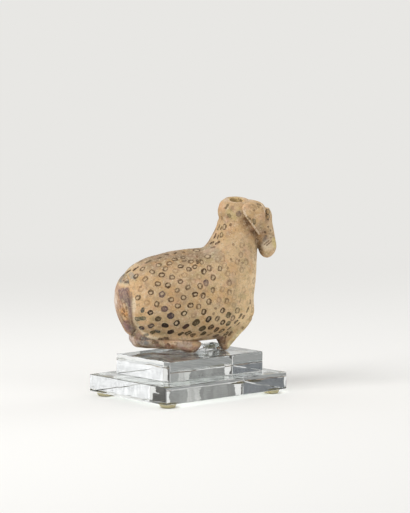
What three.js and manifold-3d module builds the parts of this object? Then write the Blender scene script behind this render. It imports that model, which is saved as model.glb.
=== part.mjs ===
// A ram-shaped aryballos, a small fired clay oil flask, on the stepped clear stand that shows it.
// The flask was pressed in two mould halves, and the head, mouth, horns, eyes, tail and legs were
// shaped apart and luted on. Millimetres, +Z up. The origin is the middle of the base of the whole's box.
// The flask has a frame of its own: it faces +X, its left side is +Y, and z = 0 is what it rests on.

import * as THREE from 'three';
import { mergeVertices } from 'three/addons/utils/BufferGeometryUtils.js';
import Module from 'manifold-3d';

const wasm = await Module();
wasm.setup();

// Stand: two cut plates, a small prop and four soft feet
const lowerPlateLength = 80;
const lowerPlateWidth = 60;
const lowerPlateThickness = 8.7;
const upperPlateLength = 62;
const upperPlateWidth = 42;
const upperPlateThickness = 10;
const upperPlateShift = new THREE.Vector2(2.8, 2.2);
const footDiameter = 8.6;
const footFlatDiameter = 4.6;
const footHeight = 2.2;
const footInset = 5.6;
const propLength = 10.6;
const propWidth = 6;
const propHeight = 3.3;
const propToForeleg = 6.4;
const propAside = 1;

// How the flask stands on the upper plate, and how far ahead of that place its body's middle lies
const flaskPlace = new THREE.Vector2(6.6, 10.6);
const flaskTurn = THREE.MathUtils.degToRad(-32);
const bodyAhead = 1.1;

// Clearance between pieces that touch
const seam = 0.3;

// Body and neck, one hollow skin
const bodyLength = 69.8;
const bodyWidth = 39;
const backHeight = 51;
const bellyHeight = 4.386;
const wall = 3.5;
const neckRise = 15.8;
const neckWidth = 17.2;
const neckDepth = 17.3;
const neckSetback = 9.5;

// Mouth knob on top of the neck
const crownHeight = 11.6;
const crownRadius = 9.3;
const mouthBore = 6.7;
const mouthDishWidth = 16.8;
const mouthDishDepth = 2.8;
const mouthTilt = THREE.MathUtils.degToRad(20);

// Face
const faceReach = 21.2;
const faceDrop = 20.2;
const browRise = 9.8;
const faceWidth = 16.4;

// Horns, eyes, tail and legs
const hornLength = 17;
const hornWidth = 12;
const hornThickness = 2.2;
const hornSetAhead = 1.5;
const hornTopDrop = 0.7;
const eyeLength = 6.8;
const eyeWidth = 3;
const eyeSpread = 12.4;
const tailLength = 33;
const tailWidth = 24.4;
const tailThickness = 2.1;
const tailTopInset = 4.4;
const tailRootInset = 8.2;
const tailFoot = 7.8;
const hoofToForeleg = 11;
const hindLegWidth = 12;
const hindLegHeight = 9.6;
const hindLegSpread = 10;
const hindLegSplay = THREE.MathUtils.degToRad(7);
const heelInset = 5.6;
const foreLegWidth = 6.8;
const foreLegSpread = 8.6;
const foreLegTipLength = 2.4;
const foreLegTipSetback = 14.9;
const soleCut = 0.7;

const rumpX = bodyAhead - bodyLength / 2;
const breastX = rumpX + bodyLength;
const neckX = breastX - neckSetback;
const neckTop = backHeight + neckRise;
const bellyShare = bellyHeight / backHeight;

// Points of the profile, in the flask's XZ plane, as shares of the sizes that they belong to
const onBody = (along, up) => [rumpX + along * bodyLength, up * backHeight];
const onNeck = (ahead, up) => [neckX + ahead * neckDepth / 2, backHeight + up * neckRise];
const onFace = (ahead, up) => [neckX + ahead * faceReach, neckTop + up * (up > 0 ? browRise : faceDrop)];

function station(upper, lower, half) {
  return { upper, lower, half };
}

// Each station joins a point of the back or nape to a point of the belly, breast or throat
const bodyStations = [
  station(onBody(0, 0.52), onBody(0, 0.52), 0),
  station(onBody(0.012, 0.64), onBody(0.012, 0.40), 0.30 * bodyWidth / 2),
  station(onBody(0.037, 0.73), onBody(0.037, 0.29), 0.50 * bodyWidth / 2),
  station(onBody(0.09, 0.82), onBody(0.09, 0.195), 0.70 * bodyWidth / 2),
  station(onBody(0.177, 0.90), onBody(0.177, 0.13), 0.87 * bodyWidth / 2),
  station(onBody(0.291, 0.96), onBody(0.291, 0.098), 0.97 * bodyWidth / 2),
  station(onBody(0.428, 0.996), onBody(0.428, bellyShare), bodyWidth / 2),
  station(onBody(0.55, 1.012), onBody(0.571, bellyShare), 0.995 * bodyWidth / 2),
  station(onBody(0.622, 1.025), onBody(0.743, 0.114), 0.945 * bodyWidth / 2),
  station(onNeck(-1.71, 0.22), onBody(0.887, 0.212), 0.87 * bodyWidth / 2),
  station(onNeck(-1.55, 0.405), onBody(0.977, 0.326), 0.78 * bodyWidth / 2),
  station(onNeck(-1.37, 0.595), onBody(1, 0.5), 0.68 * bodyWidth / 2),
  station(onNeck(-1.21, 0.775), onBody(1.01, 0.745), 0.585 * bodyWidth / 2),
  station(onNeck(-1.09, 0.905), onBody(1.018, 0.98), 1.14 * neckWidth / 2),
  station(onNeck(-1.03, 0.962), onNeck(1.25, 0.45), 1.05 * neckWidth / 2),
  station(onNeck(-1, 1), onNeck(1, 1), neckWidth / 2),
];

// From inside the mouth knob forward over the forelock, the notch below it and the brow, and down
// to the muzzle
const faceStations = [
  station(onFace(0.2, 1), onFace(0.2, -0.34), 0.92 * faceWidth / 2),
  station(onFace(0.44, 0.95), onFace(0.31, -0.48), faceWidth / 2),
  station(onFace(0.64, 0.77), onFace(0.39, -0.53), 0.98 * faceWidth / 2),
  station(onFace(0.715, 0.555), onFace(0.44, -0.555), 0.95 * faceWidth / 2),
  station(onFace(0.775, 0.56), onFace(0.47, -0.575), 0.92 * faceWidth / 2),
  station(onFace(0.86, 0.3), onFace(0.5, -0.595), 0.85 * faceWidth / 2),
  station(onFace(0.88, -0.1), onFace(0.53, -0.62), 0.77 * faceWidth / 2),
  station(onFace(0.92, -0.31), onFace(0.545, -0.66), 0.71 * faceWidth / 2),
  station(onFace(0.96, -0.52), onFace(0.545, -0.72), 0.66 * faceWidth / 2),
  station(onFace(0.99, -0.72), onFace(0.56, -0.81), 0.6 * faceWidth / 2),
  station(onFace(0.94, -0.88), onFace(0.6, -0.905), 0.49 * faceWidth / 2),
  station(onFace(0.85, -0.98), onFace(0.67, -0.985), 0.3 * faceWidth / 2),
  station(onFace(0.76, -1.02), onFace(0.76, -1.02), 0),
];

const tailTopX = rumpX + tailTopInset;
const tailBackX = rumpX - tailThickness;
const tailFrontX = rumpX + tailRootInset;
const tailTop = tailFoot + tailLength;
const onTail = (out, down) => [tailTopX + out * (tailBackX - tailTopX), tailTop - down * tailLength];
const inTail = (down) => [tailFrontX, tailTop - down * tailLength];

const tailStations = [
  station(onTail(0, 0), onTail(0, 0), 0),
  station(onTail(0.28, 0.05), inTail(0.06), 0.5 * tailWidth / 2),
  station(onTail(0.71, 0.17), inTail(0.19), 0.82 * tailWidth / 2),
  station(onTail(0.97, 0.36), inTail(0.37), 0.98 * tailWidth / 2),
  station(onTail(0.95, 0.54), inTail(0.54), tailWidth / 2),
  station(onTail(0.74, 0.7), inTail(0.69), 0.95 * tailWidth / 2),
  station(onTail(0.4, 0.85), inTail(0.83), 0.8 * tailWidth / 2),
  station(onTail(0.1, 0.95), inTail(0.93), 0.52 * tailWidth / 2),
  station(onTail(-0.2, 1), onTail(-0.2, 1), 0),
];

// The folded hind leg, heel at the back and hoof a little behind the foreleg
const foreTipX = breastX - foreLegTipSetback;
const foreHeelX = foreTipX - foreLegTipLength;
const heelX = rumpX + heelInset;
const hindLegLength = foreHeelX - hoofToForeleg - heelX;
const onLeg = (along, up) => [heelX + along * hindLegLength, up * hindLegHeight];
const underLeg = (along) => [heelX + along * hindLegLength, -soleCut];

const hindLegStations = [
  station(onLeg(0, 0.58), onLeg(0, 0.58), 0),
  station(onLeg(0.02, 0.86), onLeg(0.03, 0.36), 0.45 * hindLegWidth / 2),
  station(onLeg(0.09, 1), onLeg(0.1, 0.25), 0.74 * hindLegWidth / 2),
  station(onLeg(0.25, 0.93), onLeg(0.26, 0.19), 0.92 * hindLegWidth / 2),
  station(onLeg(0.46, 0.81), onLeg(0.46, 0.18), hindLegWidth / 2),
  station(onLeg(0.68, 0.71), onLeg(0.68, 0.09), hindLegWidth / 2),
  station(onLeg(0.88, 0.62), underLeg(0.86), 0.94 * hindLegWidth / 2),
  station(onLeg(0.97, 0.55), onLeg(0.95, 0.17), 0.66 * hindLegWidth / 2),
  station(onLeg(1, 0.42), onLeg(1, 0.42), 0),
];

// The foreleg is pinched out of the breast and tapers back to a small tip
const onForeFront = (up) => [foreTipX + 0.93 * up * foreLegTipSetback, 0.309 * up * backHeight];

const foreLegStations = [
  station(onBody(0.965, 0.34), onBody(0.78, 0.2), 0.56 * foreLegWidth),
  station(onForeFront(0.8), onBody(0.74, 0.14), 0.55 * foreLegWidth),
  station(onForeFront(0.43), onBody(0.727, 0.094), 0.48 * foreLegWidth),
  station(onForeFront(0.17), onBody(0.742, 0.05), 0.37 * foreLegWidth),
  station([foreTipX, 0], [foreHeelX, 0], 0.26 * foreLegWidth),
];

// Joins rings of points into a closed surface. A ring of one point is a tip, and any other
// end ring gets a flat cap.
function loft(rings) {
  const points = [];
  const faces = [];
  const starts = rings.map((ring) => {
    const start = points.length;
    points.push(...ring);
    return start;
  });
  for (let r = 0; r + 1 < rings.length; r += 1) {
    const near = rings[r].length;
    const far = rings[r + 1].length;
    const sides = Math.max(near, far);
    for (let s = 0; s < sides; s += 1) {
      const a = starts[r] + s % near;
      const b = starts[r] + (s + 1) % near;
      const c = starts[r + 1] + s % far;
      const d = starts[r + 1] + (s + 1) % far;
      if (near > 1) faces.push([a, b, d]);
      if (far > 1) faces.push([a, d, c]);
    }
  }
  capEnd(rings[0], starts[0], true);
  capEnd(rings[rings.length - 1], starts[rings.length - 1], false);

  function capEnd(ring, start, first) {
    if (ring.length === 1) return;
    const middle = points.length;
    points.push(ring.reduce((sum, p) => sum.add(p), new THREE.Vector3()).divideScalar(ring.length));
    for (let s = 0; s < ring.length; s += 1) {
      const here = start + s;
      const next = start + (s + 1) % ring.length;
      faces.push(first ? [middle, next, here] : [middle, here, next]);
    }
  }
  const geometry = new THREE.BufferGeometry().setFromPoints(points);
  const inward = volumeOf(points, faces) < 0;
  geometry.setIndex(faces.flatMap(([a, b, c]) => (inward ? [a, c, b] : [a, b, c])));
  return geometry;
}

function volumeOf(points, faces) {
  const cross = new THREE.Vector3();
  const share = ([a, b, c]) => cross.crossVectors(points[b], points[c]).dot(points[a]) / 6;
  return faces.reduce((sum, face) => sum + share(face), 0);
}

// Smooth curves through the stations, the half-width riding on the upper one as its y
function profileOf(stations) {
  const upper = stations.map(({ upper: [x, z], half }) => new THREE.Vector3(x, half, z));
  const lower = stations.map(({ lower: [x, z] }) => new THREE.Vector3(x, 0, z));
  return {
    upper: new THREE.CatmullRomCurve3(upper, false, 'catmullrom', 0.5),
    lower: new THREE.CatmullRomCurve3(lower, false, 'catmullrom', 0.5),
  };
}

const rounded = (value, power) => Math.sign(value) * Math.abs(value) ** power;

// One oval ring of a skin. Squareness 2 is an ellipse, and more is fuller in the corners.
function ringAt(profile, t, { sides, squareness, offset, shiftY }) {
  const top = profile.upper.getPoint(t);
  const low = profile.lower.getPoint(t);
  const half = top.y;
  top.setY(0);
  const middle = top.clone().add(low).divideScalar(2);
  const reach = top.clone().sub(low).divideScalar(2);
  const length = reach.length();
  if (length < 1e-6) return null;
  reach.multiplyScalar((length + offset) / length);
  const ring = [];
  for (let s = 0; s < sides; s += 1) {
    const turn = 2 * Math.PI * s / sides;
    const point = middle.clone().addScaledVector(reach, rounded(Math.cos(turn), 2 / squareness));
    point.y = shiftY + (half + offset) * rounded(Math.sin(turn), 2 / squareness);
    ring.push(point);
  }
  return ring;
}

// A skin over stations, moved out by offset and aside by shiftY. An end whose station has no
// size is a tip, moved out the same way.
function skin(stations, { rings, sides, squareness = 2.1, offset = 0, shiftY = 0, from = 0, extend = 0 }) {
  const profile = profileOf(stations);
  const all = [];
  for (let r = 0; r <= rings; r += 1) {
    const t = from + (1 - from) * r / rings;
    const ring = ringAt(profile, t, { sides, squareness, offset, shiftY });
    all.push(ring ?? [tipAt(profile, t, offset, shiftY)]);
  }
  if (extend > 0) {
    all.push(all[all.length - 1].map((p) => p.clone().setZ(p.z + extend)));
  }
  return loft(all);
}

function tipAt(profile, t, offset, shiftY) {
  const inside = profile.upper.getPoint(t < 0.5 ? 0.08 : 0.92);
  inside.add(profile.lower.getPoint(t < 0.5 ? 0.08 : 0.92)).divideScalar(2).setY(0);
  const tip = profile.upper.getPoint(t).setY(0);
  const outward = tip.clone().sub(inside).normalize();
  return tip.addScaledVector(outward, offset).setY(shiftY);
}

// Solids for joining and cutting
function solidOf(geometry) {
  const bare = geometry.clone();
  for (const name of Object.keys(bare.attributes)) {
    if (name !== 'position') bare.deleteAttribute(name);
  }
  const merged = mergeVertices(bare, 1e-5);
  return new wasm.Manifold(new wasm.Mesh({
    numProp: 3,
    vertProperties: new Float32Array(merged.attributes.position.array),
    triVerts: new Uint32Array(merged.index.array),
  }));
}

function geometryOf(solid) {
  const mesh = solid.getMesh();
  const geometry = new THREE.BufferGeometry();
  geometry.setAttribute('position', new THREE.Float32BufferAttribute(mesh.vertProperties, 3));
  geometry.setIndex(new THREE.Uint32BufferAttribute(mesh.triVerts, 1));
  geometry.computeVertexNormals();
  return geometry;
}

function boxBetween(low, high) {
  const size = high.clone().sub(low);
  const middle = high.clone().add(low).divideScalar(2);
  return solidOf(new THREE.BoxGeometry(size.x, size.y, size.z).translate(middle.x, middle.y, middle.z));
}

function clay(color, roughness = 0.85) {
  return new THREE.MeshStandardMaterial({ color, roughness, metalness: 0 });
}

function clearPlastic() {
  return new THREE.MeshStandardMaterial({
    color: 0xeef2f2,
    roughness: 0.06,
    metalness: 0,
    transparent: true,
    opacity: 0.35,
  });
}

function piece(name, geometry, material) {
  const mesh = new THREE.Mesh(geometry, material);
  mesh.name = name;
  return mesh;
}

// Body: the outer skin less the cavity, parted along the middle
const bodyRings = 36;
const bodySides = 34;
const bodySquareness = 2.15;

function bodySkin(offset) {
  const shape = { rings: bodyRings, sides: bodySides, squareness: bodySquareness, offset };
  return solidOf(skin(bodyStations, shape));
}

// The cavity starts where the rump is wide enough for it and opens through the top of the neck
function bodyCavity() {
  const profile = profileOf(bodyStations);
  const leastHalf = 2.6 * wall;
  const step = 0.002;
  let from = 0;
  while (profile.upper.getPoint(from).y < leastHalf) from += step;
  return solidOf(skin(bodyStations, {
    rings: 20,
    sides: 24,
    squareness: bodySquareness,
    offset: -wall,
    from,
    extend: 2 * seam,
  }));
}

function bodyHalf(side) {
  const reach = 2 * bodyLength;
  const inner = side * seam / 2;
  const outer = side * reach;
  const keep = boxBetween(
    new THREE.Vector3(-reach, Math.min(inner, outer), -reach),
    new THREE.Vector3(reach, Math.max(inner, outer), reach),
  );
  return bodySkin(0).subtract(bodyCavity()).intersect(keep);
}

// Mouth knob: a turned dome with a dished top and a bore, seated one seam above the neck
const crownBase = neckTop + seam;

function crownDome(offset) {
  const height = crownHeight + offset;
  const radius = crownRadius + offset;
  const outline = new THREE.SplineCurve([
    new THREE.Vector2(neckWidth / 2 + offset, -offset),
    new THREE.Vector2(0.985 * radius, 0.18 * height),
    new THREE.Vector2(radius, 0.35 * height),
    new THREE.Vector2(0.965 * radius, 0.51 * height),
    new THREE.Vector2(0.885 * radius, 0.68 * height),
    new THREE.Vector2(0.75 * radius, 0.78 * height),
    new THREE.Vector2(0.62 * radius, 0.845 * height),
    new THREE.Vector2(0.42 * radius, 0.93 * height),
    new THREE.Vector2(0, height),
  ]).getPoints(12);
  outline[outline.length - 1].x = 0;
  const profile = [new THREE.Vector2(0, -offset), ...outline];
  const dome = new THREE.LatheGeometry(profile, 30).rotateX(Math.PI / 2);
  return solidOf(dome.translate(neckX, 0, crownBase));
}

function mouthCutter() {
  const dishRadius = ((mouthDishWidth / 2) ** 2 + mouthDishDepth ** 2) / (2 * mouthDishDepth);
  const dish = new THREE.SphereGeometry(dishRadius, 28, 24);
  dish.translate(0, 0, dishRadius - mouthDishDepth);
  dish.rotateX(mouthTilt);
  dish.translate(neckX, 0, crownBase + crownHeight);
  const bore = new THREE.CylinderGeometry(mouthBore / 2, mouthBore / 2, 2 * crownHeight, 24);
  bore.rotateX(Math.PI / 2);
  bore.translate(neckX, 0, crownBase + crownHeight / 2);
  return solidOf(dish).add(solidOf(bore));
}

function faceSkin(offset) {
  return solidOf(skin(faceStations, { rings: 26, sides: 20, offset }));
}

// What the small parts are luted onto, grown by the seam so that they are cut clear of it
const bodyRoom = bodySkin(seam);
const crownRoom = crownDome(seam);
const faceRoom = faceSkin(seam);
const headRoom = bodyRoom.add(crownRoom).add(faceRoom);

// Horn: a thin domed curl that lies against the head, its lower edge standing free of the neck
const hornTop = neckTop + browRise - hornTopDrop;
const hornBackX = neckX + hornSetAhead;

function hornOutline() {
  const at = (along, down) => new THREE.Vector2(hornBackX + along * hornWidth, hornTop - down * hornLength);
  const edge = new THREE.CatmullRomCurve3([
    at(0.02, 0.13),
    at(0.16, 0.03),
    at(0.46, 0),
    at(0.78, 0.045),
    at(0.965, 0.15),
    at(1, 0.33),
    at(0.985, 0.6),
    at(0.94, 0.8),
    at(0.86, 0.94),
    at(0.77, 1),
    at(0.68, 0.96),
    at(0.55, 0.84),
    at(0.35, 0.64),
    at(0.17, 0.48),
    at(0.05, 0.35),
    at(0, 0.24),
  ].map(({ x, y }) => new THREE.Vector3(x, y, 0)), true, 'catmullrom', 0.5);
  return new THREE.Shape(edge.getPoints(48).slice(0, -1).map(({ x, y }) => new THREE.Vector2(x, y)));
}

function hornDome(inset) {
  const dome = new THREE.SphereGeometry(1, 44, 32);
  const across = crownRadius + hornThickness - inset;
  dome.scale(1.25 * hornWidth - inset, across, 0.95 * hornLength - inset);
  return solidOf(dome.translate(hornBackX + 0.5 * hornWidth, 0, hornTop - 0.44 * hornLength));
}

function horn(side) {
  const reach = 2 * crownRadius;
  const prism = new THREE.ExtrudeGeometry(hornOutline(), { depth: reach, bevelEnabled: false });
  prism.rotateX(Math.PI / 2);
  prism.translate(0, side < 0 ? 0 : reach, 0);
  const shell = hornDome(0).subtract(hornDome(hornThickness));
  return solidOf(prism).intersect(shell).subtract(headRoom);
}

// Eye: a flattened pellet pressed onto the brow
function eye(side) {
  const [eyeX, eyeZ] = onFace(0.725, 0.25);
  const pellet = new THREE.SphereGeometry(0.5, 16, 10);
  pellet.scale(eyeWidth, eyeWidth, eyeLength);
  pellet.translate(eyeX, side * eyeSpread / 2, eyeZ);
  return solidOf(pellet).subtract(faceRoom);
}

function tailSkin(offset) {
  return solidOf(skin(tailStations, { rings: 18, sides: 20, squareness: 2.3, offset }));
}

const belowSole = boxBetween(
  new THREE.Vector3(-bodyLength, -bodyLength, -bodyLength),
  new THREE.Vector3(bodyLength, bodyLength, 0),
);
const bodyAndTailRoom = bodyRoom.add(tailSkin(seam));

// The hind leg splays out from the heel, and its sole is flat where the flask rests on it
function hindLeg(side) {
  const leg = skin(hindLegStations, { rings: 22, sides: 18 });
  leg.translate(-heelX, 0, 0).rotateZ(side * hindLegSplay).translate(heelX, side * hindLegSpread / 2, 0);
  return solidOf(leg).subtract(belowSole).subtract(bodyAndTailRoom);
}

function foreLeg(side) {
  const leg = skin(foreLegStations, { rings: 11, sides: 16, shiftY: side * foreLegSpread / 2 });
  return solidOf(leg).subtract(bodyRoom);
}

// Stand
const clear = clearPlastic();
const upperPlateTop = lowerPlateThickness + upperPlateThickness;

function plate(name, length, width, thickness, x, y, z) {
  const mesh = piece(name, new THREE.BoxGeometry(length, width, thickness), clear.clone());
  mesh.position.set(x, y, z + thickness / 2);
  return mesh;
}

function foot(name, x, y) {
  const profile = [
    new THREE.Vector2(0, -footHeight),
    new THREE.Vector2(footFlatDiameter / 2, -footHeight),
    new THREE.Vector2(0.42 * footDiameter, -0.62 * footHeight),
    new THREE.Vector2(footDiameter / 2, -0.2 * footHeight),
    new THREE.Vector2(footDiameter / 2, 0),
    new THREE.Vector2(0, 0),
  ];
  const geometry = new THREE.LatheGeometry(profile, 28).rotateX(Math.PI / 2);
  const rubber = new THREE.MeshStandardMaterial({ color: 0xd9cfa6, roughness: 0.35, metalness: 0 });
  const mesh = piece(name, geometry, rubber);
  mesh.position.set(x, y, 0);
  return mesh;
}

const stand = new THREE.Group();
stand.add(plate('lower_plate', lowerPlateLength, lowerPlateWidth, lowerPlateThickness, 0, 0, 0));
stand.add(plate(
  'upper_plate',
  upperPlateLength,
  upperPlateWidth,
  upperPlateThickness,
  upperPlateShift.x,
  upperPlateShift.y,
  lowerPlateThickness,
));
const corners = [['front_right', 1, -1], ['front_left', 1, 1], ['rear_left', -1, 1], ['rear_right', -1, -1]];
for (const [corner, sideX, sideY] of corners) {
  const x = sideX * (lowerPlateLength / 2 - footInset);
  const y = sideY * (lowerPlateWidth / 2 - footInset);
  stand.add(foot(`foot_${corner}`, x, y));
}

// The prop lies on the upper plate just under the belly, between the hooves and the forelegs
const propInFlask = new THREE.Vector2(foreHeelX - propToForeleg, -propAside);
const propPlace = propInFlask.clone().rotateAround(new THREE.Vector2(), flaskTurn).add(flaskPlace);
stand.add(plate('prop_block', propLength, propWidth, propHeight, propPlace.x, propPlace.y, upperPlateTop));

// Flask
const flask = new THREE.Group();
flask.position.set(flaskPlace.x, flaskPlace.y, upperPlateTop + seam);
flask.rotation.z = flaskTurn;
flask.add(piece('body_right_half', geometryOf(bodyHalf(-1)), clay(0xcdaa7d)));
flask.add(piece('body_left_half', geometryOf(bodyHalf(1)), clay(0xcdaa7d)));
flask.add(piece('mouth_crown', geometryOf(crownDome(0).subtract(mouthCutter())), clay(0xd3b68c)));
flask.add(piece('face', geometryOf(faceSkin(0).subtract(bodyRoom).subtract(crownRoom)), clay(0xcfb084)));
flask.add(piece('tail', geometryOf(tailSkin(0).subtract(bodyRoom)), clay(0x8f7468)));
for (const [side, label] of [[-1, 'right'], [1, 'left']]) {
  flask.add(piece(`${label}_horn`, geometryOf(horn(side)), clay(0xcba876)));
  flask.add(piece(`${label}_eye`, geometryOf(eye(side)), clay(0x5a4638)));
  flask.add(piece(`${label}_hind_leg`, geometryOf(hindLeg(side)), clay(0x94705f)));
  flask.add(piece(`${label}_foreleg`, geometryOf(foreLeg(side)), clay(0xbf9a68)));
}

const group = new THREE.Group();
group.add(stand, flask);
const box = new THREE.Box3().setFromObject(group, true);
group.position.set(-(box.min.x + box.max.x) / 2, -(box.min.y + box.max.y) / 2, -box.min.z);

export default group;
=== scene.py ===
import math

import bmesh
import bpy
import numpy as np
from mathutils import Matrix, Vector, bvhtree, kdtree, noise


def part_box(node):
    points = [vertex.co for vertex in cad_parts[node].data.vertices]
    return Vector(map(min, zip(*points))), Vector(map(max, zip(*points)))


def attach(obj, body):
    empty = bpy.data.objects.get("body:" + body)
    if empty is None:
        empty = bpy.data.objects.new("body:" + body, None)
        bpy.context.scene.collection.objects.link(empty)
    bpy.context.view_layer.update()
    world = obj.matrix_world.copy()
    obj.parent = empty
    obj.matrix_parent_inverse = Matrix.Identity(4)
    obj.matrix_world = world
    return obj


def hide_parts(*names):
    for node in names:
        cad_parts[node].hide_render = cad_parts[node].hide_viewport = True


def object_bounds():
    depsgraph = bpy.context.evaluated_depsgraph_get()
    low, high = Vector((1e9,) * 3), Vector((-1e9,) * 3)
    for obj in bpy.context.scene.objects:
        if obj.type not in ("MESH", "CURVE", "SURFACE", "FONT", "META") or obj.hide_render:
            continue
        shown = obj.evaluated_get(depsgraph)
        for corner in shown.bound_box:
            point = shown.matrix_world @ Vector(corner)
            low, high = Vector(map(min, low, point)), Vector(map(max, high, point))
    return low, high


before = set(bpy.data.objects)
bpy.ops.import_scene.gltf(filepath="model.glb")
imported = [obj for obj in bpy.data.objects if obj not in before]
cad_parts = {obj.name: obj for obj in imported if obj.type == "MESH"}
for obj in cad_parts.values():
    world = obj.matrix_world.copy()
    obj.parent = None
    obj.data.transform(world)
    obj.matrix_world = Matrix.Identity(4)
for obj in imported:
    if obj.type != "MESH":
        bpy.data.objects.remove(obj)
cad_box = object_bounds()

scene = bpy.context.scene
scene.view_settings.view_transform = "Standard"

# Soft feet: four domed pads of clear, slightly yellowed rubber, each with a small flat to stand on.
# They are cast in a tray mould and stuck under the corners of the lower plate.
MM = 0.001


def new_material(name):
    material = bpy.data.materials.new(name)
    material.use_nodes = True
    tree = material.node_tree
    tree.nodes.clear()
    surface = tree.nodes.new("ShaderNodeBsdfPrincipled")
    output = tree.nodes.new("ShaderNodeOutputMaterial")
    tree.links.new(surface.outputs[0], output.inputs["Surface"])
    return material, tree, surface


def feed(tree, socket, value):
    if isinstance(value, bpy.types.NodeSocket):
        tree.links.new(value, socket)
    else:
        socket.default_value = value


def sum_of(tree, kind, *values):
    node = tree.nodes.new("ShaderNodeMath")
    node.operation = kind
    for place, value in enumerate(values):
        feed(tree, node.inputs[place], value)
    return node.outputs[0]


def vector_sum(tree, kind, *values):
    node = tree.nodes.new("ShaderNodeVectorMath")
    node.operation = kind
    for socket, value in zip(node.inputs, values):
        feed(tree, socket, value)
    return node.outputs["Value" if kind in ("LENGTH", "DOT_PRODUCT") else "Vector"]


def eased(tree, value, low, high, low_to=0.0, high_to=1.0):
    node = tree.nodes.new("ShaderNodeMapRange")
    node.interpolation_type = "SMOOTHSTEP"
    for place, given in enumerate((value, low, high, low_to, high_to)):
        feed(tree, node.inputs[place], given)
    return node.outputs[0]


def tinted(tree, under, over, amount):
    node = tree.nodes.new("ShaderNodeMix")
    node.data_type = "RGBA"
    feed(tree, node.inputs[0], amount)
    feed(tree, node.inputs[6], under)
    feed(tree, node.inputs[7], over)
    return node.outputs[2]


def mottle(tree, grain, low, high, detail=3.0, place=None, seed=0.0):
    """Cloudy patches about one grain across, from 0 to 1 between two levels of the noise."""
    cloud = tree.nodes.new("ShaderNodeTexNoise")
    cloud.noise_dimensions = "4D"
    cloud.inputs["W"].default_value = seed
    cloud.inputs["Scale"].default_value = 1 / grain
    cloud.inputs["Detail"].default_value = detail
    spot = tree.nodes.new("ShaderNodeTexCoord").outputs["Object"] if place is None else place
    tree.links.new(spot, cloud.inputs["Vector"])
    return eased(tree, cloud.outputs["Fac"], low, high)


def roughened(tree, surface, grain, depth, seed=0.0, detail=4.0):
    """Raises the surface by a fine uneven grain, depth being its height."""
    bump = tree.nodes.new("ShaderNodeBump")
    bump.inputs["Distance"].default_value = depth
    tree.links.new(mottle(tree, grain, 0.2, 0.8, detail, seed=seed), bump.inputs["Height"])
    tree.links.new(bump.outputs[0], surface.inputs["Normal"])
    return bump


def linear(red, green, blue):
    """A colour given as it looks on a screen, 0 to 255, for the shader."""
    shares = [value / 255 for value in (red, green, blue)]
    return [s / 12.92 if s <= 0.04045 else ((s + 0.055) / 1.055) ** 2.4 for s in shares] + [1.0]


def add_piece(name, mesh, material, body, slot, *nodes):
    piece = bpy.data.objects.new(name, mesh)
    scene.collection.objects.link(piece)
    mesh.materials.clear()
    mesh.materials.append(material)
    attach(piece, body)
    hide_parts(*nodes)
    return piece


def lofted(name, rings):
    """A closed skin through rings of points. A ring of one point is a tip, and other ends get a cap."""
    shape = bmesh.new()
    rows = [[shape.verts.new(point) for point in ring] for ring in rings]
    for near, far in zip(rows, rows[1:]):
        sides = max(len(near), len(far))
        for s in range(sides):
            a, b = near[s % len(near)], near[(s + 1) % len(near)]
            c, d = far[s % len(far)], far[(s + 1) % len(far)]
            corners = []
            for corner in (a, b, d, c):
                if corner not in corners:
                    corners.append(corner)
            shape.faces.new(corners)
    for row in (rows[0], rows[-1]):
        if len(row) > 1:
            shape.faces.new(row)
    bmesh.ops.recalc_face_normals(shape, faces=shape.faces)
    for face in shape.faces:
        face.smooth = True
    mesh = bpy.data.meshes.new(name)
    shape.to_mesh(mesh)
    shape.free()
    return mesh


foot_rubber, tree, surface = new_material("foot_rubber")
surface.inputs["Transmission Weight"].default_value = 0.45
surface.inputs["Roughness"].default_value = 0.32
surface.inputs["IOR"].default_value = 1.45
yellowing = mottle(tree, 3 * MM, 0.3, 0.7)
feed(tree, surface.inputs["Base Color"], tinted(tree, linear(228, 220, 186), linear(206, 192, 142), yellowing))
roughened(tree, surface, 0.5 * MM, 0.03 * MM)

foot_sides = 64
for corner in ("front_right", "front_left", "rear_left", "rear_right"):
    low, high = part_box(f"foot_{corner}")
    middle = (low + high) / 2
    radius = (high.x - low.x) / 2
    flat = 0.535 * radius
    rings = [[Vector((middle.x, middle.y, low.z))]]
    for step in range(15):
        turn = step / 14 * math.pi / 2
        out = flat + (radius - flat) * math.sin(turn) ** 0.8
        height = low.z + (high.z - low.z) * (1 - math.cos(turn))
        rings.append([
            Vector((middle.x + out * math.cos(s), middle.y + out * math.sin(s), height))
            for s in np.linspace(0, 2 * math.pi, foot_sides, endpoint=False)
        ])
    add_piece(f"pad_{corner}", lofted("pad", rings), foot_rubber, "stand", "foot_rubber", f"foot_{corner}")

# Plates and prop: clear cast acrylic sheet, sawn to size, with flame-polished edges and eased arrises.
# The two plates are cemented one on the other, and the small prop stands loose under the belly.
clear_acrylic, tree, surface = new_material("clear_acrylic")
surface.inputs["Roughness"].default_value = 0.015
surface.inputs["Transmission Weight"].default_value = 1.0
surface.inputs["IOR"].default_value = 1.49
roughened(tree, surface, 9 * MM, 0.05 * MM, detail=1.0)
surface.inputs["Base Color"].default_value = linear(250, 252, 252)
passing = tree.nodes.new("ShaderNodeBsdfTransparent")
passing.inputs["Color"].default_value = linear(240, 243, 242)
shadow_mix = tree.nodes.new("ShaderNodeMixShader")
rays = tree.nodes.new("ShaderNodeLightPath")
tree.links.new(rays.outputs["Is Shadow Ray"], shadow_mix.inputs[0])
tree.links.new(surface.outputs[0], shadow_mix.inputs[1])
tree.links.new(passing.outputs[0], shadow_mix.inputs[2])
output = next(node for node in tree.nodes if node.type == "OUTPUT_MATERIAL")
tree.links.new(shadow_mix.outputs[0], output.inputs["Surface"])


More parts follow.
